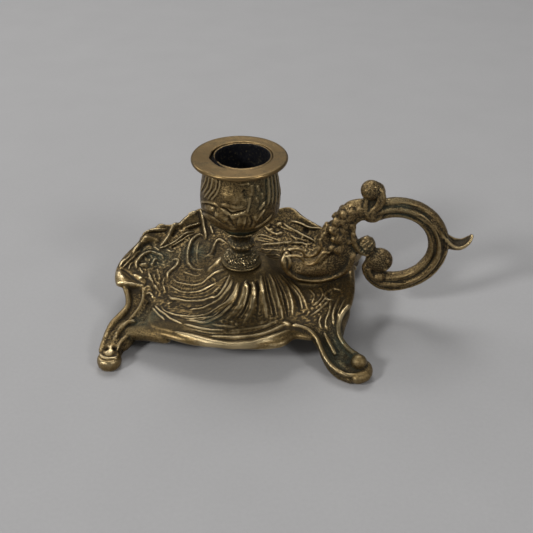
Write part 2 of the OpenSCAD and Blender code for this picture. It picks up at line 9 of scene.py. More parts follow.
import bpy
import numpy as np
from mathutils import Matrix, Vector, noise
from mathutils.bvhtree import BVHTree


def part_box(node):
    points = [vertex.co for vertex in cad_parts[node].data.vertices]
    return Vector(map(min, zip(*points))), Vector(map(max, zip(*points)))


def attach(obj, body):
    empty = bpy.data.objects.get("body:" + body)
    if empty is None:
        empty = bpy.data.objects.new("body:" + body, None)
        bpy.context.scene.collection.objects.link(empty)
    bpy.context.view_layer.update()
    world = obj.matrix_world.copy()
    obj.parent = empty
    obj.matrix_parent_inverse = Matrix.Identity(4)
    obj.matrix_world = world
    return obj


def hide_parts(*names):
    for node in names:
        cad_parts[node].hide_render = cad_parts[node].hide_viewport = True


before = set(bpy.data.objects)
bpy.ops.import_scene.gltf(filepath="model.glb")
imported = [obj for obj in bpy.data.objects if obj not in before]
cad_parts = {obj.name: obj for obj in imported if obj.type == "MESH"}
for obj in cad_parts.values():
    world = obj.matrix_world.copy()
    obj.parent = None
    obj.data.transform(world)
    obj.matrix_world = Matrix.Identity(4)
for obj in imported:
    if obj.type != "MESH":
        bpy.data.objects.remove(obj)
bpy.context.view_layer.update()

LOG = logging.getLogger("chamberstick")
MM = 0.001

Plan = Sequence[tuple[float, float]]
Colour = tuple[float, float, float]
Spot = tuple[float, float, float]
Rows = Sequence[Sequence[float]]
Array = np.ndarray
Shape = Callable[[Array, Array, Array], Array]
Piece = bpy.types.Object
Socket = bpy.types.NodeSocket


# ---- small geometry helpers ----


def box_mm(node: str) -> tuple[Array, Array]:
    """The lowest and highest corner of a CAD node, in millimetres."""
    low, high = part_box(node)
    return np.array(low) / MM, np.array(high) / MM


def wrapped(angle: Array) -> Array:
    """An angle in degrees, brought between -180 and 180."""
    return angle - 360 * np.floor((angle + 180) / 360)


def bell(angle: Array, at: float, half: float) -> Array:
    """A smooth bump of height 1 round an angle in degrees."""
    return np.exp(-((wrapped(angle - at) / half) ** 2))


def bells(angle: Array, spots: Sequence[Spot]) -> Array:
    """The sum of smooth bumps, each given as an angle, a half width and a height."""
    return sum(size * bell(angle, at, half) for at, half, size in spots)


def rise(value: Array, start: float, run: float) -> Array:
    """A ramp that leaves 0 at start and reaches 1 a run further on, or further down."""
    return np.clip((value - start) / run, 0, 1)


def curve(points: Rows, steps: int) -> Array:
    """A smooth curve through given points.

    Args:
        points: the points, of any dimension.
        steps: how many pieces each stretch between two points is cut into.

    Returns:
        The curve's points, with both ends kept.
    """
    p = np.array(points, float)
    padded = np.vstack([p[:1], p, p[-1:]])
    u = np.arange(steps)[:, None] / steps
    made = []
    for i in range(len(p) - 1):
        a, b, c, d = padded[i : i + 4]
        square = 2 * b + (c - a) * u + (2 * a - 5 * b + 4 * c - d) * u**2
        made.append(0.5 * (square + (3 * b - a - 3 * c + d) * u**3))
    return np.vstack([*made, p[-1:]])


def grid_faces(rows: int, columns: int) -> list[tuple[int, ...]]:
    """Quads between rings of points, each ring closed on itself.

    Args:
        rows: how many rings there are.
        columns: how many points a ring has.

    Returns:
        The faces as tuples of point indices.
    """
    faces = []
    for i in range(rows - 1):
        for k in range(columns):
            a = i * columns + k
            b = i * columns + (k + 1) % columns
            faces.append((a, b, b + columns, a + columns))
    return faces


@dataclass
class Form:
    """Closed mesh in the making: points in millimetres and faces."""

    points: Array
    faces: list[tuple[int, ...]]

    @classmethod
    def of_rings(cls, rings: Array) -> "Form":
        """Closes a stack of rings with a cap at each end.

        Args:
            rings: points as an array of rows by columns by 3.

        Returns:
            The closed form.
        """
        rows, columns = rings.shape[:2]
        faces = grid_faces(rows, columns)
        faces.append(tuple(range(columns - 1, -1, -1)))
        faces.append(tuple((rows - 1) * columns + k for k in range(columns)))
        return cls(rings.reshape(-1, 3), faces)

    def turned(self, degrees: float) -> "Form":
        """The form turned about the Z axis."""
        c, s = math.cos(math.radians(degrees)), math.sin(math.radians(degrees))
        spin = np.array([[c, s, 0], [-s, c, 0], [0, 0, 1]])
        return Form(self.points @ spin, self.faces)

    def moved(self, x: float = 0, y: float = 0, z: float = 0) -> "Form":
        """The form moved along the three axes."""
        return Form(self.points + np.array([x, y, z]), self.faces)


def joined(forms: Sequence[Form]) -> Form:
    """Several forms as one mesh that still overlaps itself.

    Args:
        forms: the closed forms.

    Returns:
        One form that holds them all.
    """
    faces, start = [], 0
    for f in forms:
        faces += [tuple(i + start for i in face) for face in f.faces]
        start += len(f.points)
    return Form(np.vstack([f.points for f in forms]), faces)


def bar(path: Rows, ribs: Sequence[Spot] = (), steps: int = 8) -> Form:
    """Bar of oval section along a path in the XZ plane.

    Args:
        path: rows of x, z, half depth in the plane and half width along Y.
        ribs: turn, half width and height of each line along the bar, made on both sides.
            Turn 0 is the outer side and 90 faces along Y.
        steps: how many pieces each stretch of the path is cut into.

    Returns:
        The closed bar.
    """
    p = curve(path, steps)
    heading = np.gradient(p[:, :2], axis=0)
    heading /= np.linalg.norm(heading, axis=1)[:, None]
    sides = 48
    turn = np.arange(sides) * 360 / sides
    girth = np.ones(sides)
    for at, half, height in ribs:
        girth += height * np.maximum(bell(turn, at, half), bell(turn, -at, half))
    c = np.cos(np.radians(turn)) * girth
    s = np.sin(np.radians(turn)) * girth
    x = p[:, :1] - heading[:, 1:] * p[:, 2:3] * c
    z = p[:, 1:2] + heading[:, :1] * p[:, 2:3] * c
    return Form.of_rings(np.stack([x, p[:, 3:4] * s, z], -1))


def ball(x: float, y: float, z: float, radii: tuple[float, float, float]) -> Form:
    """Ellipsoid that is later fused with its neighbours.

    Args:
        x: its centre along X.
        y: its centre along Y.
        z: its centre along Z.
        radii: its three half axes.

    Returns:
        The closed form.
    """
    rows, columns = 20, 32
    lift = np.radians(np.linspace(-88, 88, rows))[:, None]
    turn = np.radians(np.arange(columns) * 360 / columns)[None, :]
    over_x = x + radii[0] * np.cos(lift) * np.cos(turn)
    over_y = y + radii[1] * np.cos(lift) * np.sin(turn)
    over_z = z + radii[2] * np.sin(lift) * np.ones_like(turn)
    return Form.of_rings(np.stack([over_x, over_y, over_z], -1))


def cord(path: Rows, steps: int = 5) -> Form:
    """Round cord along a path in space, with rounded ends.

    Args:
        path: rows of x, y, z and radius.
        steps: how many pieces each stretch of the path is cut into.

    Returns:
        The closed cord.
    """
    p = curve(path, steps)
    heading = np.gradient(p[:, :3], axis=0)
    heading /= np.maximum(np.linalg.norm(heading, axis=1), 1e-9)[:, None]

    def past(end: int, way: float, thin: float) -> Array:
        """A thinner row that lies beyond one of the cord's ends."""
        return np.append(p[end, :3] + way * p[end, 3] * heading[end], thin * p[end, 3])

    p = np.vstack([past(0, -0.9, 0.4), past(0, -0.6, 0.8), p, past(-1, 0.6, 0.8), past(-1, 0.9, 0.4)])
    heading = np.vstack([heading[:1], heading[:1], heading, heading[-1:], heading[-1:]])
    across = np.cross(heading, (0.31, 0.52, 0.80))
    across /= np.linalg.norm(across, axis=1)[:, None]
    up = np.cross(heading, across)
    turn = np.radians(np.arange(16) * 360 / 16)[None, :, None]
    spoke = across[:, None] * np.cos(turn) + up[:, None] * np.sin(turn)
    return Form.of_rings(p[:, None, :3] + p[:, None, 3:4] * spoke)


def web(left: Rows, right: Rows, sag: float, thick: float) -> Form:
    """Solid sheet between two lines in space.

    Args:
        left: rows of x, y and z along one edge.
        right: as many rows along the other edge.
        sag: how far its middle hangs below the edges.
        thick: how deep the sheet is.

    Returns:
        The closed sheet.
    """
    a, b = curve(left, 6)[:, None], curve(right, 6)[:, None]
    share = np.linspace(0, 1, 9)[None, :, None]
    top = a + (b - a) * share
    top[:, :, 2] -= sag * 4 * (share * (1 - share))[:, :, 0]
    under = top[:, ::-1].copy()
    under[:, :, 2] = np.maximum(under[:, :, 2] - thick, 0.05)
    return Form.of_rings(np.concatenate([top, under], 1))


def lathe(profile: Rows, sides: int, shape: Shape | None = None) -> Form:
    """Turned form about the Z axis, or about an axis that shifts from row to row.

    Args:
        profile: rows of radius and z, or of radius, z, and the centre's x and y.
        sides: how many points a ring has.
        shape: gives what is added to the radius for the turn in degrees, the radius and z.

    Returns:
        The form, closed at both ends.
    """
    rows = np.array(profile, float)
    if rows.shape[1] == 2:
        rows = np.hstack([rows, np.zeros((len(rows), 2))])
    turn = (np.arange(sides) * 360 / sides)[None, :]
    r = rows[:, :1] * np.ones_like(turn)
    z = rows[:, 1:2] * np.ones_like(turn)
    if shape is not None:
        r = r + shape(wrapped(turn) * np.ones_like(r), r, z)
    x = rows[:, 2:3] + r * np.cos(np.radians(turn))
    y = rows[:, 3:4] + r * np.sin(np.radians(turn))
    return Form.of_rings(np.stack([x, y, z], -1))


def hollow(rows: Rows, sides: int, shape: Shape | None = None) -> Form:
    """Turned form that closes on itself round a hole.

    Args:
        rows: its section, as for a turned form.
        sides: how many points a ring has.
        shape: gives what is added to the radius.

    Returns:
        The form.
    """
    made = lathe([*rows, rows[0]], sides, shape)
    points = made.points[: len(rows) * sides]
    faces = [tuple(i % len(points) for i in face) for face in grid_faces(len(rows) + 1, sides)]
    return Form(points, faces)


# ---- relief ----


class Mark(Enum):
    """The values that a piece keeps at each point for its finish."""

    CAVITY = "cavity"
    POLISH = "polish"
    GREEN = "green"
    # Black of the bore, and painted shade on the spigot's side.
    SOOT = "soot"


class Cut(Enum):
    """How a stroke's section looks."""

    CORD = "cord"
    SWELL = "swell"


@dataclass(frozen=True)
class Stroke:
    """Raised line of the relief, or a sunk one where its height is below 0."""

    points: Plan
    half: float = 0.7
    height: float = 0.5
    cut: Cut = Cut.CORD
    taper: float = 0.2

    def section(self, share: Array) -> Array:
        """The height from 0 to 1 at a distance from the middle, as a share of half the width."""
        if self.cut is Cut.CORD:
            return np.clip(1 - share**2, 0, 1) ** 0.8
        return np.exp(-2.2 * share**2)


def ridge(points: Plan, half: float, height: float, taper: float = 0.2) -> Stroke:
    """A narrow round stroke, sunk where its height is below 0."""
    return Stroke(points, half, height, Cut.CORD, taper)


def swell(points: Plan, half: float, height: float, taper: float = 0.2) -> Stroke:
    """A soft stroke, broad at its foot, sunk where its height is below 0."""
    return Stroke(points, half, height, Cut.SWELL, taper)


def rungs(one: Plan, other: Plan, count: int, span: tuple[float, float]) -> list[Stroke]:
    """Short marks that join two ribs, as a punch leaves them.

    Args:
        one: the first rib's points.
        other: the second rib's points, in the same sense.
        count: how many marks there are.
        span: where the first and the last one stand, as shares of the ribs' length.

    Returns:
        The marks.
    """
    a, b = curve(one, 8), curve(other, 8)
    made = []
    for i in range(count):
        share = span[0] + (span[1] - span[0]) * (i + 0.35 * math.sin(7.3 * i)) / (count - 1)
        share = min(max(share, 0), 1)
        p, q = a[round(share * (len(a) - 1))], b[round(share * (len(b) - 1))]
        start = 0.16 + 0.10 * math.sin(5.1 * i)
        end = 0.84 + 0.10 * math.sin(3.7 * i)
        made.append(ridge([p + (q - p) * start, p + (q - p) * end], 0.42, 0.34, 0.1))
    return made


def combed(
    one: Plan, other: Plan, shares: Sequence[float], half: float = 0.35, height: float = 0.45
) -> list[Stroke]:
    """Fine lines that run along between two ribs.

    Args:
        one: the first rib's points.
        other: the second rib's points, in the same sense.
        shares: where each line lies, from 0 on the first rib to 1 on the second.
        half: the lines' half width.
        height: the lines' height.

    Returns:
        The lines.
    """
    ends = np.linspace(0, 1, 9)
    a, b = (c[np.round(ends * (len(c) - 1)).astype(int)] for c in (curve(one, 8), curve(other, 8)))
    return [ridge(list(a + (b - a) * t), half, height, 0.25) for t in shares]


def close_to(points: Array, spots: Sequence[Spot]) -> Array:
    """1 at the middle of each spot, given as x, y and width, falling to 0 away from it."""
    x, y = points[:, 0], points[:, 1]
    return np.max([np.exp(-(((x - a) ** 2 + (y - b) ** 2) / r**2)) for a, b, r in spots], axis=0)


def to_line(points: Array, line: Array) -> tuple[Array, Array]:
    """Distance from points to a line of straight stretches.

    Args:
        points: the points, one to a row.
        line: the line's own points.

    Returns:
        Each distance, and where along the line it is, from 0 to 1.
    """
    step = np.diff(line, axis=0)
    length = np.maximum(np.linalg.norm(step, axis=1), 1e-9)
    before = np.concatenate([[0], np.cumsum(length)[:-1]]) / length.sum()
    best = np.full(len(points), np.inf)
    along = np.zeros(len(points))
    for start, d, run, done in zip(line[:-1], step, length, before, strict=True):
        t = np.clip((points - start) @ d / run**2, 0, 1)
        gap = np.linalg.norm(points - start - t[:, None] * d, axis=1)
        near = gap < best
        best[near] = gap[near]
        along[near] = done + t[near] * run / length.sum()
    return best, along


class Relief:
    """Adds up strokes on a set of points."""

    FLANK = 0.3
    TIP = 0.35

    def __init__(self, points: Array) -> None:
        """Starts with no relief at points in millimetres."""
        self.points = points
        self.raised = np.zeros(len(points))
        self.flank = np.zeros(len(points))
        self.sunk = np.zeros(len(points))

    def add(self, stroke: Stroke, line: Array) -> None:
        """Adds one stroke.

        Args:
            stroke: its width, height and section.
            line: its middle line on the surface, in the points' own space.
        """
        reach = 2 * stroke.half
        low, high = line.min(0) - reach, line.max(0) + reach
        chosen = np.flatnonzero(np.all((self.points > low) & (self.points < high), axis=1))
        if not len(chosen):
            return
        gap, along = to_line(self.points[chosen], line)
        ends = np.ones_like(along)
        if stroke.taper:
            ends = np.clip(np.minimum(along, 1 - along) / stroke.taper, 0, 1)
        ends = self.TIP + (1 - self.TIP) * ends * (2 - ends)
        share = gap / (stroke.half * ends)
        height = abs(stroke.height) * ends * stroke.section(share)
        if stroke.height < 0:
            self.sunk[chosen] = np.maximum(self.sunk[chosen], height)
            return
        self.raised[chosen] = np.maximum(self.raised[chosen], height)
        if stroke.cut is Cut.CORD:
            edge = self.FLANK * stroke.height * ends * np.exp(-(((share - 1.3) / 0.3) ** 2))
            self.flank[chosen] = np.maximum(self.flank[chosen], edge)

    def height(self) -> Array:
        """The relief's height at each point, in millimetres."""
        bare = 1 - np.clip(self.raised / 0.2, 0, 1)
        return self.raised - self.flank * bare - self.sunk


class Skin:
    """A piece's mesh, with the tools that a chaser works its surface with."""

    def __init__(self, mesh: bpy.types.Mesh) -> None:
        """Reads the mesh.

        Args:
            mesh: a mesh in millimetres.
        """
        self.mesh = mesh
        self.points = np.empty(len(mesh.vertices) * 3, np.float32)
        mesh.vertices.foreach_get("co", self.points)
        self.points = self.points.reshape(-1, 3).astype(float)
        self.edges = np.empty(len(mesh.edges) * 2, np.int32)
        mesh.edges.foreach_get("vertices", self.edges)
        self.edges = self.edges.reshape(-1, 2)
        self.degree = np.maximum(np.bincount(self.edges.ravel(), minlength=len(self.points)), 1)

    @classmethod
    def fused(cls, name: str, form: Form, voxel: float) -> "Skin":
        """Melts overlapping closed forms into one skin, as one casting.

        Args:
            name: the mesh's name.
            form: the forms, in millimetres.
            voxel: the size of a face, in millimetres.

        Returns:
            The skin.
        """
        rough = bpy.data.meshes.new(name + "_blank")
        rough.from_pydata(form.points.tolist(), [], form.faces)
        ob = bpy.data.objects.new(name + "_blank", rough)
        bpy.context.scene.collection.objects.link(ob)
        melt = ob.modifiers.new("melt", "REMESH")
        melt.mode = "VOXEL"
        melt.voxel_size = voxel
        graph = bpy.context.evaluated_depsgraph_get()
        mesh = bpy.data.meshes.new_from_object(ob.evaluated_get(graph))
        mesh.name = name
        bpy.data.objects.remove(ob)
        bpy.data.meshes.remove(rough)
        return cls(mesh)

    @classmethod
    def plain(cls, name: str, form: Form) -> "Skin":
        """A skin that keeps the form's own faces."""
        mesh = bpy.data.meshes.new(name)
        mesh.from_pydata(form.points.tolist(), [], form.faces)
        return cls(mesh)

    def near(self, values: Array) -> Array:
        """The mean of each point's neighbours.

        Args:
            values: one value or one row of values to a point.

        Returns:
            The means, in the same shape.
        """
        a, b = self.edges.T
        flat = values.reshape(len(values), -1)
        total = np.empty_like(flat, dtype=float)
        for c in range(flat.shape[1]):
            total[:, c] = np.bincount(a, flat[b, c], len(flat))
            total[:, c] += np.bincount(b, flat[a, c], len(flat))
        return (total / self.degree[:, None]).reshape(values.shape)

    def relax(self, rounds: int, share: Array | float = 0.5) -> None:
        """Softens the surface.

        Args:
            rounds: how many passes to make.
            share: how far a point moves towards its neighbours' mean.
        """
        weight = np.broadcast_to(share, len(self.points))[:, None]
        for _ in range(rounds):
            self.points = self.points + weight * (self.near(self.points) - self.points)

    def normals(self) -> Array:
        """The surface's direction at each point."""
        self.write(1)
        found = np.empty(len(self.points) * 3, np.float32)
        self.mesh.vertex_normals.foreach_get("vector", found)
        return found.reshape(-1, 3).astype(float)

    def write(self, scale: float) -> None:
        """Puts the points, times a scale, back into the mesh."""
        flat = (self.points * scale).astype(np.float32).ravel()
        self.mesh.vertices.foreach_set("co", flat)
        self.mesh.update()

    def cavity(self, rounds: int, depth: float) -> Array:
        """How far each point stands above or below the surface round it.

        Args:
            rounds: how wide the surroundings are.
            depth: the height in millimetres that counts as fully raised.

        Returns:
            0 in a hollow, 0.5 on an even surface and 1 on a ridge.
        """
        smooth = self.points
        for _ in range(rounds):
            smooth = self.near(smooth)
        stands = np.einsum("ij,ij->i", self.points - smooth, self.normals())
        return np.clip(0.5 + 0.5 * stands / depth, 0, 1)

    def store(self, marks: dict[Mark, Array | float]) -> None:
        """Keeps values for each point, for the finish to read.

        Args:
            marks: one value, or one to a point, under each mark.
        """
        for mark, values in marks.items():
            made = self.mesh.attributes.new(mark.value, "FLOAT", "POINT")
            made.data.foreach_set("value", np.broadcast_to(values, len(self.points)).astype(np.float32))

    def lumps(self, size: float) -> Array:
        """Soft unevenness, as a sand mould leaves it.

        Args:
            size: how wide a lump is, in millimetres.

        Returns:
            A value from about -1 to 1 for each point.
        """
        return np.array([noise.noise(Vector(p)) for p in self.points / size])

    def lines_on(self, strokes: Sequence[Stroke], along: Vector, place: Callable) -> list[Array]:
        """Lays strokes on the surface.

        Args:
            strokes: the strokes, with points in a flat plan.
            along: the direction in which they are laid.
            place: turns a plan point into a point outside the surface.

        Returns:
            Each stroke's line on the surface.
        """
        faces = np.empty(len(self.mesh.loops), np.int32)
        self.mesh.loops.foreach_get("vertex_index", faces)
        sizes = np.empty(len(self.mesh.polygons), np.int32)
        self.mesh.polygons.foreach_get("loop_total", sizes)
        corners = np.split(faces, np.cumsum(sizes)[:-1])
        tree = BVHTree.FromPolygons(self.points.tolist(), [c.tolist() for c in corners])
        lines = []
        for s in strokes:
            line = []
            for flat in curve(s.points, 5):
                start = Vector(place(flat))
                hit = tree.ray_cast(start, along)[0]
                line.append(hit or tree.find_nearest(start + along * start.length * 0.5)[0])
            lines.append(np.array([list(p) for p in line]))
        return lines

    def piece(self, name: str, body: str, node: str, slot: str) -> Piece:
        """Makes the finished piece and hands it to its body.

        Args:
            name: the piece's name.
            body: the CAD body that it rides on.
            node: the CAD node that it stands for.
            slot: the record's material slot; not used.

        Returns:
            The new object.
        """
        self.write(MM)
        self.mesh.shade_smooth()
        ob = bpy.data.objects.new(name, self.mesh)
        bpy.context.scene.collection.objects.link(ob)
        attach(ob, body)
        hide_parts(node)
        return ob


# ---- finishes ----


class Nodes:
    """Short way to wire a material."""

    SOCKETS = {
        "colour": "Base Color",
        "metal": "Metallic",
        "rough": "Roughness",
        "specular": "Specular IOR Level",
    }

    def __init__(self, name: str) -> None:
        """Starts a material of that name with its Principled shader."""
        self.material = bpy.data.materials.new(name)
        self.material.use_nodes = True
        self.tree = self.material.node_tree
        self.shader = self.tree.nodes["Principled BSDF"]
        self.place = self.add("ShaderNodeTexCoord").outputs["Object"]

    def add(self, kind: str, **settings: object) -> bpy.types.Node:
        """Adds a node with the given properties."""
        node = self.tree.nodes.new(kind)
        for key, value in settings.items():
            setattr(node, key, value)
        return node

    def link(self, source: Socket, target: Socket) -> None:
        """Links one socket to another."""
        self.tree.links.new(source, target)

    def mark(self, which: Mark) -> Socket:
        """The value that the piece keeps under a name."""
        return self.add("ShaderNodeAttribute", attribute_name=which.value).outputs["Fac"]

    def grain(self, size: float, detail: float = 3, rough: float = 0.55) -> Socket:
        """Cloudy noise.

        Args:
            size: how wide one cloud is, in millimetres.
            detail: how many finer layers it has.
            rough: how strong the finer layers are.

        Returns:
            A socket with values round 0.5.
        """
        made = self.add("ShaderNodeTexNoise")
        made.inputs["Scale"].default_value = 1 / (size * MM)
        made.inputs["Detail"].default_value = detail
        made.inputs["Roughness"].default_value = rough
        self.link(self.place, made.inputs["Vector"])
        return made.outputs["Fac"]

    def sum(self, *terms: tuple[Socket, float], start: float = 0) -> Socket:
        """A weighted sum.

        Args:
            terms: pairs of a socket and its weight.
            start: what the sum starts from.

        Returns:
            The sum's socket.
        """
        total = None
        for socket, weight in terms:
            step = self.add("ShaderNodeMath", operation="MULTIPLY_ADD")
            self.link(socket, step.inputs[0])
            step.inputs[1].default_value = weight
            if total is None:
                step.inputs[2].default_value = start
            else:
                self.link(total, step.inputs[2])
            total = step.outputs[0]
        return total

    def times(self, a: Socket, b: Socket) -> Socket:
        """The product of two sockets, kept between 0 and 1."""
        step = self.add("ShaderNodeMath", operation="MULTIPLY", use_clamp=True)
        self.link(a, step.inputs[0])
        self.link(b, step.inputs[1])
        return step.outputs[0]

    def ramp(self, value: Socket, *stops: tuple[float, Colour | float]) -> Socket:
        """Turns a value into a colour, or into another value.

        Args:
            value: the socket to read.
            stops: pairs of a place on the ramp and what stands there.

        Returns:
            The ramp's colour socket.
        """
        made = self.add("ShaderNodeValToRGB")
        row = made.color_ramp.elements
        while len(row) < len(stops):
            row.new(0.5)
        for element, (at, what) in zip(row, stops, strict=True):
            rgb = what if isinstance(what, tuple) else (what,) * 3
            element.position = at
            element.color = (*rgb, 1)
        self.link(value, made.inputs["Fac"])
        return made.outputs["Color"]

    def mix(self, share: Socket, low: Socket | Colour, high: Socket | Colour) -> Socket:
        """Mixes two colours.

        Args:
            share: how much of the second colour shows.
            low: the first colour.
            high: the second colour.

        Returns:
            The mixed colour's socket.
        """
        made = self.add("ShaderNodeMix", data_type="RGBA")
        self.link(share, made.inputs["Factor"])
        for name, value in (("A", low), ("B", high)):
            socket = next(i for i in made.inputs if i.name == name and i.type == "RGBA")
            if isinstance(value, tuple):
                socket.default_value = (*value, 1)
            else:
                self.link(value, socket)
        return next(o for o in made.outputs if o.type == "RGBA")

    def blend(self, share: Socket, name: str, high: float) -> None:
        """Moves one of the shader's linked values towards a fixed one.

        Args:
            share: how much of the fixed value counts.
            name: the shader's socket.
            high: the fixed value.
        """
        target = self.shader.inputs[name]
        made = self.add("ShaderNodeMix", data_type="FLOAT")
        self.link(share, made.inputs[0])
        self.link(target.links[0].from_socket, made.inputs[2])
        made.inputs[3].default_value = high
        self.link(made.outputs[0], target)

    def dress(self, **values: Socket | float) -> None:
        """Sets or links the shader's colour, metal, roughness and specular level.

        Args:
            values: what goes to each of them, by its short name.
        """
        for short, value in values.items():
            target = self.shader.inputs[self.SOCKETS[short]]
            if isinstance(value, float):
                target.default_value = value
            else:
                self.link(value, target)

    def bump(self, height: Socket, depth: float) -> None:
        """Roughens the surface.

        Args:
            height: the socket that holds the height, from 0 to 1.
            depth: what 1 stands for, in millimetres.
        """
        made = self.add("ShaderNodeBump")
        made.inputs["Strength"].default_value = 1
        made.inputs["Distance"].default_value = depth * MM
        self.link(height, made.inputs["Height"])
        self.link(made.outputs["Normal"], self.shader.inputs["Normal"])


@dataclass(frozen=True)
class Finish:
    """Finish that is built as one material."""

    name: str

    def wire(self, n: Nodes) -> None:
        """Wires the finish's nodes."""
        raise NotImplementedError

    def material(self) -> bpy.types.Material:
        """Builds the finish and hands back its material."""
        n = Nodes(self.name)
        self.wire(n)
        return n.material


@dataclass(frozen=True)
class CastBrass(Finish):
    """Old cast brass: rubbed bright on the ridges, with dark patina in the hollows."""

    hollow: Colour = (0.024, 0.016, 0.006)
    shade: Colour = (0.064, 0.044, 0.018)
    body: Colour = (0.215, 0.147, 0.062)
    ridge: Colour = (0.305, 0.236, 0.130)
    bright: Colour = (0.640, 0.500, 0.280)
    green: Colour = (0.050, 0.075, 0.058)
    rough_hollow: float = 0.60
    rough_body: float = 0.42
    rough_ridge: float = 0.30
    specular: float = 0.22
    cloud_wide: float = 4.5
    speck_wide: float = 0.6
    pit_depth: float = 0.14
    lift: float = 0.0

    def wire(self, n: Nodes) -> None:
        """Wires wear, patina and pits from the piece's marks."""
        cloud = n.grain(self.cloud_wide, 4)
        speck = n.ramp(n.grain(self.speck_wide, 3, 0.7), (0.38, 0.0), (0.62, 1.0))
        crest = n.mark(Mark.CAVITY)
        polish = n.mark(Mark.POLISH)
        bare = n.ramp(n.sum((crest, 0.6), (polish, 0.6)), (0.27, 1.0), (0.48, 0.12))
        spots = n.times(bare, speck)
        terms = ((crest, 1.60), (cloud, 0.34), (spots, 0.56), (speck, 0.08), (polish, 0.30))
        worn = n.sum(*terms, start=self.lift - 0.80)
        tones = ((0.20, self.hollow), (0.40, self.shade), (0.58, self.body), (0.86, self.ridge))
        roughs = ((0.25, self.rough_hollow), (0.52, self.rough_body), (0.8, self.rough_ridge))
        metal = n.ramp(worn, *tones)
        wet = n.ramp(n.sum((cloud, 0.7), (speck, 0.3)), (0.36, 0.0), (0.56, 1.0))
        # The green mark tints towards the green colour: verdigris on most pieces, and painted shade on
        # the cup's upper right side.
        damp_and_painted_shade = n.times(n.mark(Mark.GREEN), wet)
        rubbed = n.times(polish, n.ramp(worn, (0.62, 0.0), (0.86, 1.0)))
        n.dress(
            colour=n.mix(damp_and_painted_shade, n.mix(rubbed, metal, self.bright), self.green),
            specular=self.specular,
            metal=n.ramp(worn, (0.25, 0.25), (0.5, 0.92), (0.6, 1.0)),
            rough=n.ramp(worn, *roughs),
        )
        n.bump(n.sum((spots, 1.0), (speck, 0.10)), self.pit_depth)


@dataclass(frozen=True)
class SocketBrass(CastBrass):
    """Cast brass whose bore is black with smoke and old wax; the same black is painted on the spigot's
    side as shade in the gap under the plate.
    """

    # The bore's black, which is also painted on the spigot's side as shade.
    soot: Colour = (0.006, 0.006, 0.008)
    wax: Colour = (0.06, 0.05, 0.03)
    rough_soot: float = 0.55
    specular: float = 0.12

    def wire(self, n: Nodes) -> None:
        """Adds the black bore, and the painted shade on the spigot's side, to the cast finish."""
        super().wire(n)
        black = n.mark(Mark.SOOT)
        crust = n.ramp(n.grain(1.2, 4, 0.7), (0.55, self.soot), (0.72, self.wax))
        clean = n.shader.inputs["Base Color"].links[0].from_socket
        n.dress(colour=n.mix(black, clean, crust))
        n.blend(black, "Metallic", 0.0)
        n.blend(black, "Roughness", self.rough_soot)


@dataclass(frozen=True)
class TurnedBrass(Finish):
    """Turned brass with a satin face, fine lathe lines and a few dull spots."""

    bright: Colour = (0.225, 0.150, 0.065)
    dull: Colour = (0.120, 0.086, 0.042)
    rough: float = 0.32
    rough_more: float = 0.16
    line_wide: float = 0.35
    line_depth: float = 0.02

    def wire(self, n: Nodes) -> None:
        """Wires the lathe's lines and the dull spots."""
        cloud = n.grain(5, 4)
        fine = n.grain(0.8, 3, 0.7)
        rings = n.add("ShaderNodeTexWave", wave_type="RINGS", rings_direction="Z")
        rings.inputs["Scale"].default_value = 0.5 / (self.line_wide * MM)
        rings.inputs["Distortion"].default_value = 1.5
        n.link(n.place, rings.inputs["Vector"])
        turned = rings.outputs["Fac"]
        tone = n.sum((cloud, 0.75), (fine, 0.25), (turned, 0.04), start=-0.02)
        n.dress(
            colour=n.ramp(tone, (0.36, self.dull), (0.52, self.bright)),
            metal=1.0,
            rough=n.ramp(tone, (0.3, self.rough + self.rough_more), (0.55, self.rough)),
        )
        n.bump(n.sum((turned, 0.5), (fine, 0.5)), self.line_depth)


@dataclass(frozen=True)
class OldSteel(Finish):
    """Plain steel gone brown with age."""

    clean: Colour = (0.30, 0.29, 0.27)
    rust: Colour = (0.085, 0.055, 0.035)

    def wire(self, n: Nodes) -> None:
        """Wires the rust over the bare steel."""
        tone = n.sum((n.grain(1.6, 4), 0.7), (n.grain(0.4, 2), 0.3))
        n.dress(
            colour=n.ramp(tone, (0.4, self.rust), (0.6, self.clean)),
            metal=n.ramp(tone, (0.4, 0.3), (0.6, 1.0)),
            rough=n.ramp(tone, (0.4, 0.7), (0.6, 0.4)),
        )
        n.bump(tone, 0.05)


# ---- drip pan ----


# Smooth tongue at the left, and the slots and rim of the toe below it.
TONGUE = (
    swell([(-54, -3), (-51, -3.6), (-48.5, -5.4), (-46, -7.4), (-42.5, -8.6)], 0.9, -0.4),
    swell([(-48, -4), (-46, -4.4), (-43.6, -5.6)], 2, 0.5),
    swell([(-55, -4.5), (-52, -8), (-48.5, -10), (-44.5, -10.4)], 2.6, 0.5),
    swell([(-42, -3), (-41.2, -6.5), (-41, -10.5), (-41.4, -13)], 1, -0.6),
    swell([(-47.9, -42.6), (-47.3, -43.2)], 1, -1.6, 0),
    swell([(-51.6, -42.8), (-51, -43.6)], 1, -1.6, 0),
    ridge([(-53.4, -45.2), (-52, -47.2), (-49.4, -48.2), (-46.8, -47.6), (-45.6, -46.2)], 0.7, 0.5),
)

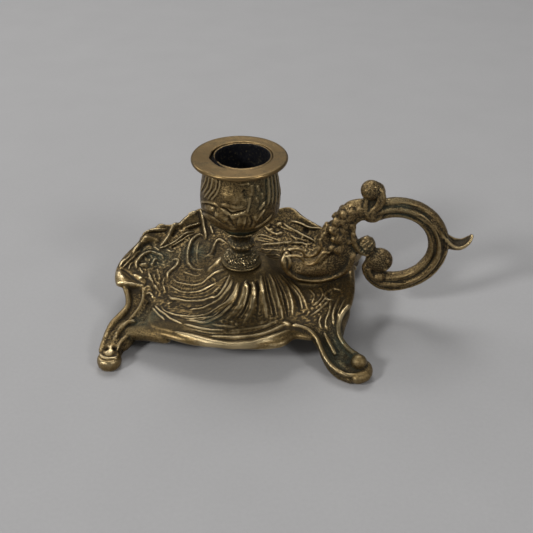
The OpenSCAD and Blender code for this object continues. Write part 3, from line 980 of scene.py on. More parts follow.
# Arches, knob and columns of the left field.
LEFT_FIELD = (
    ridge([(-54.5, -1.5), (-54, 2), (-52.5, 4.5), (-51, 9), (-50, 13.5), (-49, 17)], 1.1, 0.7),
    ridge([(-53, -1.5), (-52, 2), (-50.5, 6.5), (-49.5, 10), (-48.5, 12)], 0.7, 0.6),
    ridge([(-50.5, -1.5), (-50.5, 2), (-49.5, 5)], 0.5, 0.45),
    ridge([(-47.5, 0.5), (-48.5, 4), (-48, 6.5), (-47, 10), (-45, 13), (-43, 14), (-40.5, 13.5),
           (-38.5, 13), (-37.5, 11)], 1.05, 0.8),
    ridge([(-41.5, 4.5), (-41.5, 7.5), (-41, 9.5), (-39.5, 10)], 0.9, 0.7),
    ridge([(-45.5, 4), (-44.5, 4.5)], 1.5, 0.9, 0),
    swell([(-45, 10), (-43, 11)], 1.2, -0.8),
    swell([(-48, 12.5), (-47, 17), (-45, 19.5), (-42.5, 18)], 1.3, -1),
    ridge([(-51.5, 10), (-51.5, 6.5), (-52.5, 3.5)], 0.4, -0.4),
    ridge([(-42.5, 2), (-41.5, -1.5), (-39.5, -5.5), (-37.5, -10), (-34.5, -13.5)], 0.6, 0.6),
    ridge([(-42.5, -3.5), (-40, -5), (-38, -7.5)], 0.5, 0.55),
    ridge([(-39.5, 0), (-38.5, -4), (-36, -8.5)], 0.45, 0.45),
    ridge([(-40, -15.5), (-38, -15), (-36.5, -17)], 0.6, 0.6),
    ridge([(-39, 4), (-37.5, -0.5), (-35.5, -5)], 0.4, 0.4),
    ridge([(-46.5, 2), (-45.5, 0), (-44, -1.5)], 0.5, 0.5),
)

# Broad bands and crossed ridges of the back left.
UPPER_LEFT = (
    swell([(-50, 23.9), (-46.6, 26.5), (-43.1, 28.6), (-39, 30)], 1.7, 0.8),
    ridge([(-49.4, 22.9), (-45.8, 26), (-42.4, 27.6), (-39.3, 29)], 0.5, -0.7),
    swell([(-48.1, 21.2), (-44.6, 22.9), (-41.5, 22.4)], 2.2, 0.6),
    swell([(-40.4, 20), (-38.6, 24.9), (-37, 29.6), (-34.4, 34)], 1.5, 1.1, 0.2),
    swell([(-42.6, 30.6), (-41.6, 30.9)], 2.2, 1.2, 0),
    ridge([(-41.2, 17.5), (-38.4, 20), (-34.8, 24.3), (-30.3, 29.2), (-26.6, 32.7)], 0.7, 0.7),
    ridge([(-36.5, 20.8), (-32.8, 24.5), (-29, 28.5), (-26.5, 31)], 0.45, 0.5),
    swell([(-36.5, 27.5), (-33.5, 30.5), (-30.8, 33.4)], 1.4, -0.6),
    ridge([(-30.2, 33), (-27.4, 35.5), (-24.2, 38.1)], 0.8, 1.4),
    ridge([(-25.1, 43.7), (-23.6, 40.6), (-22.4, 35.9), (-21.1, 32.3), (-20.4, 29.6)], 1, 1.6),
    swell([(-30.5, 40.4), (-28.6, 41.6), (-26.7, 42.2)], 1.5, 0.7),
    ridge([(-19.6, 38), (-18.6, 35.6), (-17.6, 33.7)], 0.7, 1),
    ridge([(-43.5, 19.4), (-42.3, 17.4), (-40, 16)], 0.8, 0.6),
    ridge([(-37.5, 18.2), (-35, 17.4), (-33.5, 18.6)], 0.7, 0.5),
    swell([(-35.5, 21), (-33.5, 22.5)], 0.9, -0.6),
)

# Long oval loop, the scrolls beside it and the worn boss by the knop.
LOOPS = (
    ridge([(-21, 29), (-22, 31), (-24, 31.5), (-25.5, 29.5), (-27, 26), (-27.5, 23), (-27.5, 19),
           (-27, 15), (-26, 10.5), (-24, 6.5), (-22, 3.5), (-19.5, 1), (-17, -0.5)], 0.95, 0.85),
    ridge([(-23.5, 27), (-23.5, 22.5), (-23, 17), (-22, 12), (-20.5, 7)], 0.5, 0.5),
    swell([(-25.5, 24.5), (-25.5, 20), (-24.5, 15)], 1, -0.7),
    ridge([(-10, 27), (-11.5, 28), (-14, 30), (-15.5, 28), (-16, 25), (-16, 21.5), (-16.5, 16.5),
           (-18, 14.5), (-20, 16)], 0.95, 0.85),
    ridge([(-12.5, 25.5), (-11, 27), (-10, 27)], 0.5, 0.6),
    swell([(-15, 22), (-14.5, 17), (-13.5, 6)], 0.9, -1),
    swell([(-9.5, 3.5), (-11, -1.5), (-13.5, -4), (-15, -5)], 2.2, 0.8),
    ridge([(-15, -9), (-11.5, -7.5), (-8.5, -7), (-6, -6)], 0.8, 0.7),
    ridge([(-33.5, 11), (-31.5, 12), (-30.5, 10.5), (-31, 6.5), (-32.5, 3.5), (-33.5, 0.5), (-33, -2.5)],
          1, 0.8),
    ridge([(-30.5, 18.5), (-31, 14.5), (-29.5, 12)], 0.5, 0.4),
)

# Lower left lines, and the two rolled bands of the front rim.
FRONT = (
    ridge([(-36.5, -22.5), (-34, -26), (-31.5, -29), (-28.5, -32.5)], 0.6, 0.65),
    ridge([(-35, -22), (-32.5, -25.5), (-29, -28.5), (-25.5, -32), (-21, -34.5)], 0.6, 0.65),
    ridge([(-35.5, -23), (-33, -26.5), (-30, -30)], 0.35, -0.4),
    swell([(23, -30), (19.5, -33), (15.5, -36.6), (10.5, -39.6), (5.5, -41), (-1, -42.2), (-8, -42)], 1.5,
          0.8),
    swell([(23, -35.5), (17.5, -40.4), (11, -44.3), (6, -45.5), (1, -46), (-4, -45.7), (-9, -45),
           (-15, -43.5), (-22, -41)], 2.5, 1.2),
    ridge([(22, -33.5), (15.5, -38.8), (10.5, -41.8), (3.5, -43.7), (-4, -44), (-11, -43)], 0.5, -0.5),
    ridge([(18.5, -30.2), (14.5, -33.6), (9, -37), (3, -38.8), (-3, -40)], 0.5, -0.7),
    swell([(17, -29.5), (12.5, -33), (6, -35.5), (0, -37)], 0.9, 0.5),
    swell([(20, -29.5), (22, -31), (23.5, -30)], 2.4, 0.8),
    ridge([(-8.5, -33.5), (-4.5, -34.5), (1, -34.5)], 0.9, 0.5),
    ridge([(-20, -34.5), (-14, -36.6), (-8, -37.5), (-2, -37)], 0.8, 0.5),
    ridge([(-16, -38.6), (-10, -40.2), (-4, -40.6)], 0.6, -0.5),
)

# Ridges of the right side.
RIGHT = (
    ridge([(40, -13), (37.5, -17), (35.5, -20), (33, -23), (31, -24)], 0.6, 0.65),
    ridge([(38.5, -11), (36.5, -14.5), (34.5, -18)], 0.5, 0.55),
    ridge([(39.5, -15), (39, -22), (37.5, -28.5), (38.5, -31.5)], 0.7, 0.65),
    ridge([(43.5, -13), (41.5, -19.5), (40.5, -25.5), (41, -30)], 0.8, 0.7),
    swell([(42.5, -13.5), (45, -13)], 2, 0.5),
    ridge([(39, -2), (40, -7.5), (39.5, -11)], 0.6, 0.5),
    ridge([(41.5, -1), (42.5, -4.5)], 0.6, 0.5),
    ridge([(42.5, -21.5), (41.5, -25.5)], 0.5, -0.5),
    ridge([(44, -9), (41, -7), (38, -8.5), (37, -12), (38.5, -14.5), (41, -14)], 0.8, 0.8),
    ridge([(45.5, -16), (43.5, -22), (42.5, -27.5)], 0.6, 0.7),
    ridge([(34, -4), (36, -9), (35, -14), (32, -18)], 0.6, 0.6),
    ridge([(30, -6), (32.5, -11), (31.5, -16)], 0.5, 0.5),
    ridge([(36, -24), (35, -28), (36, -31)], 0.6, 0.7),
)

# Long ribs of the back right wing.
BACK_RIGHT = (
    ridge([(2.5, 32.5), (5.5, 34), (10, 33), (15, 31)], 0.45, 0.5),
    ridge([(2, 31.5), (6.5, 32), (12.5, 30.5)], 0.45, 0.5),
    ridge([(2.5, 31), (7.5, 30), (14.5, 28.5)], 0.45, 0.5),
    ridge([(6, 27), (15, 28.5), (20, 29), (24.5, 28.5), (27.5, 27), (27.5, 25.5)], 0.8, 0.9),
    swell([(20, 28.5), (22.5, 28.5), (25.5, 27.5)], 1.1, -1.1),
    ridge([(4.5, 22.5), (10.5, 23), (16, 23.5)], 0.6, 0.6),
    ridge([(9.5, 7), (13, 17.5), (16.5, 17)], 0.6, 0.7),
    swell([(11, 7), (13.5, 12), (15.5, 15)], 0.8, -1),
    ridge([(9.5, 36.5), (12, 35.5), (14.5, 35)], 0.6, 0.8),
    ridge([(8, 38.5), (8, 38), (9.5, 36.5)], 0.8, 0.7),
    ridge([(15.5, 41.5), (19, 38), (24.5, 34), (29, 30.5), (32, 28)], 0.7, 0.8),
    ridge([(14, 40), (18, 37.5), (22, 35)], 0.5, 0.6),
    ridge([(21.5, 36), (25.5, 33), (25, 31)], 0.8, 0.7),
    ridge([(19.5, 34.5), (22, 31.5), (23, 30.5)], 0.5, 0.5),
    swell([(25.5, 36.5), (28, 34)], 1.6, -0.9),
    ridge([(19, 41.5), (24, 39), (29, 36), (33.5, 34.5)], 0.7, 0.7),
    ridge([(20, 33), (24.5, 31), (28, 29)], 0.4, 0.45),
)

# Curved ribs that sweep round the left of the knop.
SHELL_RIBS = (
    ridge([(-30.5, -14.5), (-28.5, -17.5), (-26, -18), (-22, -19), (-18, -19), (-14.5, -19), (-11.5, -18),
           (-9, -18), (-7, -16.5), (-5.5, -14.5), (-4.5, -12.5), (-4, -10)], 0.85, 0.95),
    ridge([(-20.5, -25), (-17, -24.5), (-14, -23.5), (-11, -21.5), (-8, -19.5), (-5.5, -17),
           (-3.5, -14.5), (-2.5, -12)], 0.85, 0.85),
    ridge([(-32, -22.5), (-30, -26), (-26.5, -28), (-23, -29), (-19.5, -29.5), (-16, -29), (-13, -28),
           (-10.5, -26), (-8, -23), (-6, -21), (-4, -18), (-2.5, -16)], 0.5, 0.7),
    ridge([(-22, -30), (-18.5, -31), (-15.5, -30.5), (-12, -29.5), (-9, -28.5), (-6.5, -25), (-4, -21.5),
           (-2, -18.5)], 0.45, 0.6),
    ridge([(-19.5, -32), (-15.5, -32.5), (-12, -33), (-9, -30.5), (-6, -27.5), (-3.5, -23.5),
           (-1, -19.5)], 0.7, 0.7),
    ridge([(-32, -7), (-29.5, -10), (-25.5, -12.5), (-21, -13.5), (-17, -13.5), (-14, -13), (-11, -12.5),
           (-8.5, -12)], 0.7, 0.75),
    ridge([(-31, -2), (-28, -6), (-24, -7.5), (-20, -9), (-16, -9.5), (-14, -8.5), (-12.5, -8)], 0.65,
          0.7),
    ridge([(-28, 4.5), (-26, 2), (-23, -0.5), (-19.5, -3.5), (-17, -3.5)], 0.6, 0.6),
    ridge([(-34.5, -2.5), (-34, -8), (-32, -13)], 0.5, 0.55),
    ridge([(-37, 0), (-36.5, -5), (-35, -10)], 0.4, 0.45),
)

# Middle lines of the broad flutes, from the knop to the front.
FAN = (
    [(0, -13.5), (-1, -17), (-4, -21.5), (-9, -26)], [(3, -12.8), (2.6, -18), (0.6, -24), (-3, -29.5)],
    [(5.8, -12.2), (6.6, -16.7), (6.3, -23.1), (4.6, -30.5)],
    [(9.2, -8.6), (10, -13.2), (11.7, -19.2), (13.4, -27.5)],
    [(12.7, -5.8), (15.4, -11.3), (18.1, -18.9), (19.9, -27)],
    [(16.5, -3.1), (20.9, -8.6), (23.2, -17.9), (23.6, -24)],
    [(20, -1.5), (25, -7), (28, -14), (29.5, -20)],
)

# Sharp crests and short slots near the top of the flutes.
CRESTS = (
    ridge([(0, -13.5), (-0.5, -16), (-2, -18), (-4, -20.5), (-6.5, -22.5), (-9.5, -25)], 0.7, 1.1),
    ridge([(3.5, -12), (3, -13.5), (4, -14.5), (4, -17.5), (3, -21.5)], 0.8, 1.2),
    ridge([(6, -12), (7, -15), (7.3, -18.5)], 0.9, 1.5, 0.4),
    ridge([(9, -9.5), (10.2, -13), (10.8, -16)], 0.8, 1.4, 0.4),
    ridge([(13, -6.5), (15.5, -11.5), (17.5, -18), (18, -22)], 0.6, 1.2),
    ridge([(17, -1.5), (21.5, -5.5), (25.5, -11.5), (27, -17), (27.5, -20)], 0.7, 0.9),
    ridge([(20.5, -1), (24, -4.5), (27, -9.5)], 0.6, 0.6),
    ridge([(5, -13), (5.2, -17)], 0.6, -0.9),
    ridge([(8, -11), (8.8, -15)], 0.6, -0.9),
)


# Left edge of the curled foot: x, y, z and radius.
CURL_LEFT = (
    (25, -31.4, 14, 0.9), (30.6, -32.6, 13, 1), (34, -35.2, 11.2, 1.05), (36, -38.9, 8.9, 1.05),
    (38.4, -43, 6.8, 1.05), (41.8, -46.4, 5.2, 1), (46.2, -48.8, 4.4, 1), (50.8, -49.2, 4.6, 0.9),
)

# Its right edge.
CURL_RIGHT = (
    (46.6, -21.5, 17.6, 1.1), (44, -25.6, 16.4, 1.1), (42.9, -29.6, 14.8, 1.1),
    (43, -33.6, 12.4, 1.1), (45.2, -36.8, 10.2, 1.2), (47.8, -38.6, 8.3, 1.2),
    (50.4, -39.4, 7, 1.2), (53, -41, 6, 1.2),
)

# Lower edge of the wall under the right one: x, y and z.
CURL_WALL = (
    (47.8, -20.5, 15), (46.2, -25, 12.6), (45, -30.2, 10.2), (45, -33.8, 8.2), (46, -36.4, 7),
    (48.2, -38.2, 5.6), (50.8, -39.2, 4.4), (53.4, -41, 3.4),
)

# Left edge of the kneed foot: x, y, z and radius.
KNEE_LEFT = (
    (-52, -8, 16.6, 1.2), (-49.6, -12.2, 14.2, 1.3), (-47.8, -16.2, 12, 1.3),
    (-47.6, -19.6, 10, 1.3), (-49.4, -23.6, 8.6, 1.6), (-52.2, -29, 7.2, 1.6),
    (-53.2, -36, 5.8, 1.5), (-53.4, -43, 4.8, 1.3),
)

# Its right edge.
KNEE_RIGHT = (
    (-41.6, -12.2, 15, 0.9), (-41.2, -14.6, 14.4, 0.9), (-40.9, -17.6, 12.9, 0.95),
    (-41.6, -21, 11.2, 0.95), (-43.2, -24.4, 9.9, 0.9), (-44.8, -27.4, 9, 0.8),
    (-45.6, -33, 7, 0.9), (-46, -40.5, 5, 1),
)

# Inner edge of the web behind the knee: x, y and z.
KNEE_INNER = (
    (-38, -13, 12.3), (-36.5, -20, 12.3), (-34.5, -26, 12.6), (-32, -32, 12.1), (-28.5, -37, 12),
)

# Outer edge of that web.
KNEE_OUTER = (
    (-40.4, -14.5, 12.9), (-41.2, -21, 10.6), (-43.2, -26, 9), (-42.6, -31, 8.6), (-38, -34.5, 9.4),
)

# Bead, core and curl of the curled foot.
CURL_CORDS = (
    (
        (37.4, -33.6, 12, 0.8), (38.8, -36, 10.8, 0.95), (40.6, -38.6, 9, 1),
        (41.8, -40.4, 7.6, 0.9),
    ),
    (
        (30, -27, 11, 2.6), (36, -32, 7.4, 2.6), (41, -38, 4.6, 2.4), (44.6, -42.4, 3, 2.2),
        (48.6, -45, 2.2, 2), (52, -44.4, 2.6, 2.4),
    ),
    (
        (50.8, -49.2, 3, 2.4), (53.8, -47.4, 3, 2.4), (55, -44.4, 3.2, 2.2), (54.6, -41.8, 3.6, 2),
    ),
)

# Beads, cores and ridges of the kneed foot.
KNEE_CORDS = (
    (
        (-39.6, -14.6, 14, 0.6), (-39.4, -18.2, 12, 0.65), (-40.2, -21.8, 10.5, 0.65),
        (-42, -25.4, 9.4, 0.6),
    ),
    (
        (-46.4, -16, 7, 3.2), (-46.4, -20, 5, 3.4), (-46.8, -24, 4.4, 3.4), (-47.8, -30, 4.3, 4),
        (-48.8, -36, 4, 4), (-49.4, -41, 3.6, 3.6), (-49.5, -45, 3.4, 3.4),
    ),
    (
        (-42, -25, 5.6, 3.2), (-42.6, -29, 5.4, 3.4), (-44.4, -33, 4.8, 3.4),
        (-46.2, -37.4, 4, 3.2),
    ),
    (
        (-48.6, -38.4, 7.4, 1.15), (-48.2, -35.2, 8.2, 1.1), (-46.9, -32, 9, 1.15),
        (-45, -29.6, 9.5, 1.05), (-42.6, -28.8, 9.6, 0.9),
    ),
    (
        (-46.9, -42.6, 6, 0.8), (-46, -39.4, 6.8, 0.9), (-44.2, -36.2, 7.6, 0.9),
        (-42, -33.4, 8.6, 0.9), (-40.2, -30.4, 9.6, 0.8),
    ),
    (
        (-43.5, -33, 6.6, 2.8), (-39.5, -34.4, 8.2, 3.3), (-35.5, -35.8, 9.6, 3.4),
        (-31.4, -37.8, 10.6, 3.2), (-27, -39.8, 11.2, 2.8),
    ),
    (
        (-39.6, -32.2, 11.2, 0.7), (-36.4, -33, 12.3, 0.75), (-33, -34.2, 13.1, 0.8),
        (-30.2, -36.4, 13.1, 0.9), (-28.2, -39.4, 12.4, 0.9),
    ),
)


@dataclass
class DripPan:
    """Footed pan, cast in one with its relief."""

    half_x: float = 50
    half_y: float = 46.5
    square: float = 2.6
    rim_h: float = 18.5
    rim_rise: float = 3.5
    floor_h: float = 13.8
    wall: float = 2.6
    roll: float = 3.2
    boss_h: float = 22.6
    boss_r: float = 9.2
    boss_thick: float = 5.6
    mound_w: float = 9.5
    crest_in: float = 2.4
    toe_half: float = 5
    toe_thick: float = 3
    toe_ball: float = 3.1
    seat_top: float = 15.2
    screw_head_r: float = 2.85
    pad_r: float = 3.7
    pad_below_tip: float = 8.3
    leg_drawn_in: float = 2.4
    rub_share: float = 0.25
    voxel: float = 0.36
    reach_lobes: tuple[Spot, ...] = (
        (181, 21, 6.5), (69, 7, 4.2), (150, 8, 3), (118, 8, 3.4), (136, 5, -3), (-55, 7, -5),
        (-121, 8, -0.6), (45, 9, -1.2), (209, 10, -7.5), (-44, 8, -3),
    )
    rise_lobes: tuple[Spot, ...] = (
        (69, 11, 2.4), (116, 12, 1.6), (-44.5, 11, -4), (-140, 14, -2.5), (204, 8, -2.6),
    )
    notch: Plan = (
        (192.5, 0), (195.5, -8.2), (200, -6.8), (205, -4.8), (212, -4), (220, -1.5), (229, 0),
    )
    rubbed: tuple[Spot, ...] = (
        (-51, -6, 6), (-45, -8, 5), (-12, 1, 4), (3, -43, 6), (14, -41, 6), (-8, -43, 6),
        (21, -31, 3), (-50, -47, 4), (50, 10, 3), (44, -27, 3),
    )
    grained: tuple[Spot, ...] = (
        (-24, -16, 11), (-14, -22, 8), (-20, 10, 13), (-42, 8, 10), (-33, 25, 8), (14, 33, 11),
        (30, 24, 9), (-8, 30, 10), (34, -20, 8), (-50, -36, 4), (-36, -10, 8), (4, -25, 8),
        (17, -17, 8), (0, -35, 7), (14, -29, 6), (40, -7, 7),
    )
    greened: tuple[Spot, ...] = ((-10, -33, 5), (-38, -30, 6), (45, -38, 8), (-24, 18, 7), (-40, 12, 7))
    troughs: tuple[Spot, ...] = (
        (0, -37, 8), (-14, -36, 7), (14, -33, 7), (6, -22, 9), (18, -16, 7), (36, -14, 7),
        (-38, 26, 9), (-28, 36, 7),
    )
    beads: Plan = ((8, 39), (10, 37), (14.5, 35.5), (14, 40.5))
    # Spots painted darker as shade: the curled foot's channel and the rim in front of the handle ring.
    painted_shade_spots: tuple[Spot, ...] = ((40, -37, 6), (47, -43, 5), (53, -8, 4))

    def rim_r(self, a: Array) -> Array:
        """Radius of the rim's outer edge at an angle in degrees."""
        c, s = np.abs(np.cos(np.radians(a))), np.abs(np.sin(np.radians(a)))
        oval = (c / self.half_x) ** self.square + (s / self.half_y) ** self.square
        cut = np.interp(np.mod(a, 360), *np.array(self.notch, float).T)
        return oval ** (-1 / self.square) + cut + bells(a, self.reach_lobes)

    def rim_z(self, a: Array) -> Array:
        """Height of the rim's crest at an angle in degrees."""
        return self.rim_h + self.rim_rise * np.sin(np.radians(a)) + bells(a, self.rise_lobes)

    def dish_z(self, share: Array, a: Array) -> Array:
        """Height of the dish's upper face.

        Args:
            share: 0 at the axis and 1 at the rim's crest.
            a: the angle in degrees.

        Returns:
            The height in millimetres.
        """
        r = share * (self.rim_r(a) - self.crest_in)
        slope = np.exp(-((np.maximum(r - self.boss_r, 0) / self.mound_w) ** 2))
        mound = (self.boss_h - self.floor_h) * slope
        return self.floor_h + mound + (self.rim_z(a) - self.floor_h) * share**6 * (r > self.boss_r)

    def shell(self) -> Form:
        """The pan's wall, from the boss out over the rim and back underneath."""
        a = np.arange(360.0)
        crest = self.rim_r(a) - self.crest_in
        top, under, rings = [], [], 32
        for i in range(rings + 1):
            share = self.boss_r / crest + (1 - self.boss_r / crest) * i / rings
            z = self.dish_z(share, a)
            top.append((share * crest, z))
            if i < rings:
                under.insert(0, (share * crest - 0.25 * self.wall, z - self.wall))
        edge, z = self.rim_r(a), self.rim_z(a)
        rim = [
            (edge - 0.5, z - 0.3 * self.roll),
            (edge, z - 0.8 * self.roll),
            (edge - 0.9, z - self.roll),
            (crest - 0.8, z - max(0.7 * self.roll, self.wall)),
        ]
        tip, flat = np.full_like(a, 0.01), np.ones_like(a)
        loops = [(tip, self.boss_h * flat), *top, *rim, *under]
        loops.append((tip, (self.boss_h - self.boss_thick) * flat))
        c, s = np.cos(np.radians(a)), np.sin(np.radians(a))
        return Form.of_rings(np.array([np.stack([r * c, r * s, h], -1) for r, h in loops])[::-1])

    def curled_foot(self) -> list[Form]:
        """Front right foot: a channelled leg that curls up round a ball."""
        r = 1.08 * self.toe_ball
        left, right = ([q[:3] for q in rows] for rows in (CURL_LEFT, CURL_RIGHT))
        return [
            *[cord(rows) for rows in (CURL_LEFT, CURL_RIGHT, *CURL_CORDS)],
            web(left, right, 2.0, 4.6),
            web(right, CURL_WALL, -0.4, 4.0),
            ball(51.4, -42.8, 6.0, (r, r, r)),
            self.toe_pad().moved(48.6, -46.4, -1.2),
        ]

    def knee_foot(self) -> list[Form]:
        """Front left foot: it spreads at the knee and ends in a blunt toe."""
        toe = [[0.1, 0], [3.7, 0], [4.7, 0.9], [5.0, 3.0], [4.8, 4.4], [4.0, 5.4], [0.1, 5.6]]
        left, right = ([q[:3] for q in rows] for rows in (KNEE_LEFT, KNEE_RIGHT))
        return [
            *[cord(rows) for rows in (KNEE_LEFT, KNEE_RIGHT, *KNEE_CORDS)],
            web(left, right, 1.2, 5.6),
            web(KNEE_INNER, KNEE_OUTER, 0.8, 4.4),
            lathe(toe, 40).moved(-49.5, -46.3),
        ]

    def toe_pad(self) -> Form:
        """Flat pad that a toe rests on."""
        w, top = self.toe_half, self.toe_thick + 1
        return lathe([[0.1, 0], [w - 2.2, 0], [w - 2.2, 1], [w - 1, top], [0.1, top]], 32)

    def blank(self) -> Skin:
        """The pan before its relief is cut."""
        low, high = box_mm("handle_screws")
        middle = 0.5 * (low[0] + high[0])
        seat = ball(middle, 0, self.seat_top - 1.6, (12.5, 4.6, 2.4))
        seat.points[:, 2] = np.minimum(seat.points[:, 2], self.seat_top)
        r, z, top = self.pad_r, high[2] - self.pad_below_tip, self.seat_top - 1
        pad = lathe([[0.1, z], [r, z], [r, top], [0.1, top]], 40)
        pads = [pad.moved(x) for x in (low[0] + self.screw_head_r, high[0] - self.screw_head_r)]
        front = [*self.curled_foot(), *self.knee_foot()]
        feet = [form.turned(a) for form in front for a in (0, 180)]
        for form in feet:
            x, y = form.points[:, 0], form.points[:, 1]
            x -= self.leg_drawn_in * rise(y, 36, -12) * rise(x, 42, 8) * (y > 3)
        parts = [self.shell(), seat, *pads, *feet]
        skin = Skin.fused("drip_pan_cast", joined(parts), self.voxel)
        skin.relax(5)
        return skin

    def strokes(self) -> list[Stroke]:
        """Every line of the relief, in plan."""
        made = [*TONGUE, *LEFT_FIELD, *SHELL_RIBS, *LOOPS, *UPPER_LEFT, *FRONT, *CRESTS, *RIGHT]
        made += [*BACK_RIGHT, *self.nautilus(), *self.flutes(), *self.hidden_back()]
        return made + [ridge([(x - 0.4, y), (x + 0.4, y + 0.3)], 1.2, 0.8, 0) for x, y in self.beads]

    def nautilus(self) -> list[Stroke]:
        """Fine lines and rungs between the curved ribs at the left of the knop."""
        a, b, c, d, e, f, g = (SHELL_RIBS[i].points for i in (0, 1, 2, 5, 6, 7, 4))
        made = combed(b, c, (0.5,), 0.4) + combed(a, b, (0.35, 0.7), 0.4, 0.4)
        made += combed(d, a, (0.3, 0.62), 0.45, 0.5) + combed(e, d, (0.5,), 0.4)
        made += combed(f, e, (0.33, 0.67), 0.4, 0.4) + combed(c, g, (0.6,), height=0.4)
        made += rungs(b, c, 30, (0.05, 0.95)) + rungs(a, b, 26, (0.1, 1.0))
        made += rungs(d, a, 34, (0.02, 0.98)) + rungs(e, d, 28, (0.05, 0.95))
        return made + rungs(f, e, 20, (0.1, 0.9))

    def flutes(self) -> list[Stroke]:
        """Fan of broad flutes, with sunk and raised lines between them and steps at its end."""
        made = [swell(line, 1.9, 0.85, 0.3) for line in FAN]
        for one, other in zip(FAN[:-1], FAN[1:], strict=True):
            made += [swell(q.points, 0.55, -0.55, 0.3) for q in combed(one, other, (0.5,), 0.5, 0.5)]
            made += combed(one, other, (0.2, 0.8), height=0.35)
        steps = [(20.2 + 0.1 * i, -12.5 - 1.3 * i) for i in range(8)]
        made += [ridge([(x, y), (22, y - 0.4), (23.6, y - 0.1)], 0.4, 0.4) for x, y in steps]
        for i in (1, 3, 4):
            made += combed(FAN[i], FAN[i + 1], (0.35, 0.65))
        return made

    def hidden_back(self) -> list[Stroke]:
        """Flutes behind the stem."""
        made = []
        for a in range(62, 150, 11):
            c, q = math.cos(math.radians(a)), math.sin(math.radians(a))
            made.append(ridge([(12 * c, 12 * q), (20 * c, 20 * q), (27 * c - 1, 27 * q)], 0.8, 0.6))
        return made

    def build(self) -> list[Piece]:
        """Cuts the relief into the blank and gives it its finish."""
        skin = self.blank()
        normals = skin.normals()
        strokes = self.strokes()
        lines = skin.lines_on(strokes, Vector((0, 0, -1)), lambda p: (p[0], p[1], 60))
        relief = Relief(skin.points)
        for s, line in zip(strokes, lines, strict=True):
            relief.add(s, line)
        height = relief.height() * np.clip(normals[:, 2] * 3 + 0.6, 0, 1)
        top = np.clip(normals[:, 2] * 2, 0, 1)
        grit = np.clip(1.4 * close_to(skin.points, self.grained), 0, 1)
        smooth = 1 - close_to(skin.points, self.rubbed)
        ground = rise(relief.raised, 0.25, -0.25) * grit * smooth
        height += skin.lumps(2.2) * (0.03 + 0.24 * top * grit)
        height += skin.lumps(1.1) * (0.03 + 0.42 * ground) * top
        skin.points += normals * height[:, None]
        skin.points[:, 2] = np.maximum(skin.points[:, 2], 0)
        skin.relax(1, 0.35)
        # The troughs get a lighter tone; the painted shade spots are darkened as painted shade.
        dark = 0.13 * close_to(skin.points, self.troughs) - 0.10 * close_to(skin.points, self.painted_shade_spots)
        hands = self.handled(skin.points) * (1 - 0.6 * grit)
        skin.store({
            Mark.CAVITY: skin.cavity(14, 0.42) + dark,
            Mark.POLISH: np.maximum(close_to(skin.points, self.rubbed), hands),
            Mark.GREEN: 0.6 * close_to(skin.points, self.greened),
        })
        piece = skin.piece("drip_pan_cast", "chamberstick", "drip_pan", "cast_brass")
        piece.data.materials.append(CastBrass("cast_brass").material())
        return [piece]

    def handled(self, points: Array) -> Array:
        """How far the smooth parts are rubbed: most in front, least on the wall under the rim."""
        x, y, z = points.T
        front = rise(y, -8, -8) * rise(np.hypot(x, y), 44, -3)
        wall = rise(z, 14, -3) * (1 - front)
        return (self.rub_share + 0.4 * front) * (1 - 0.8 * wall)


# ---- stem ----


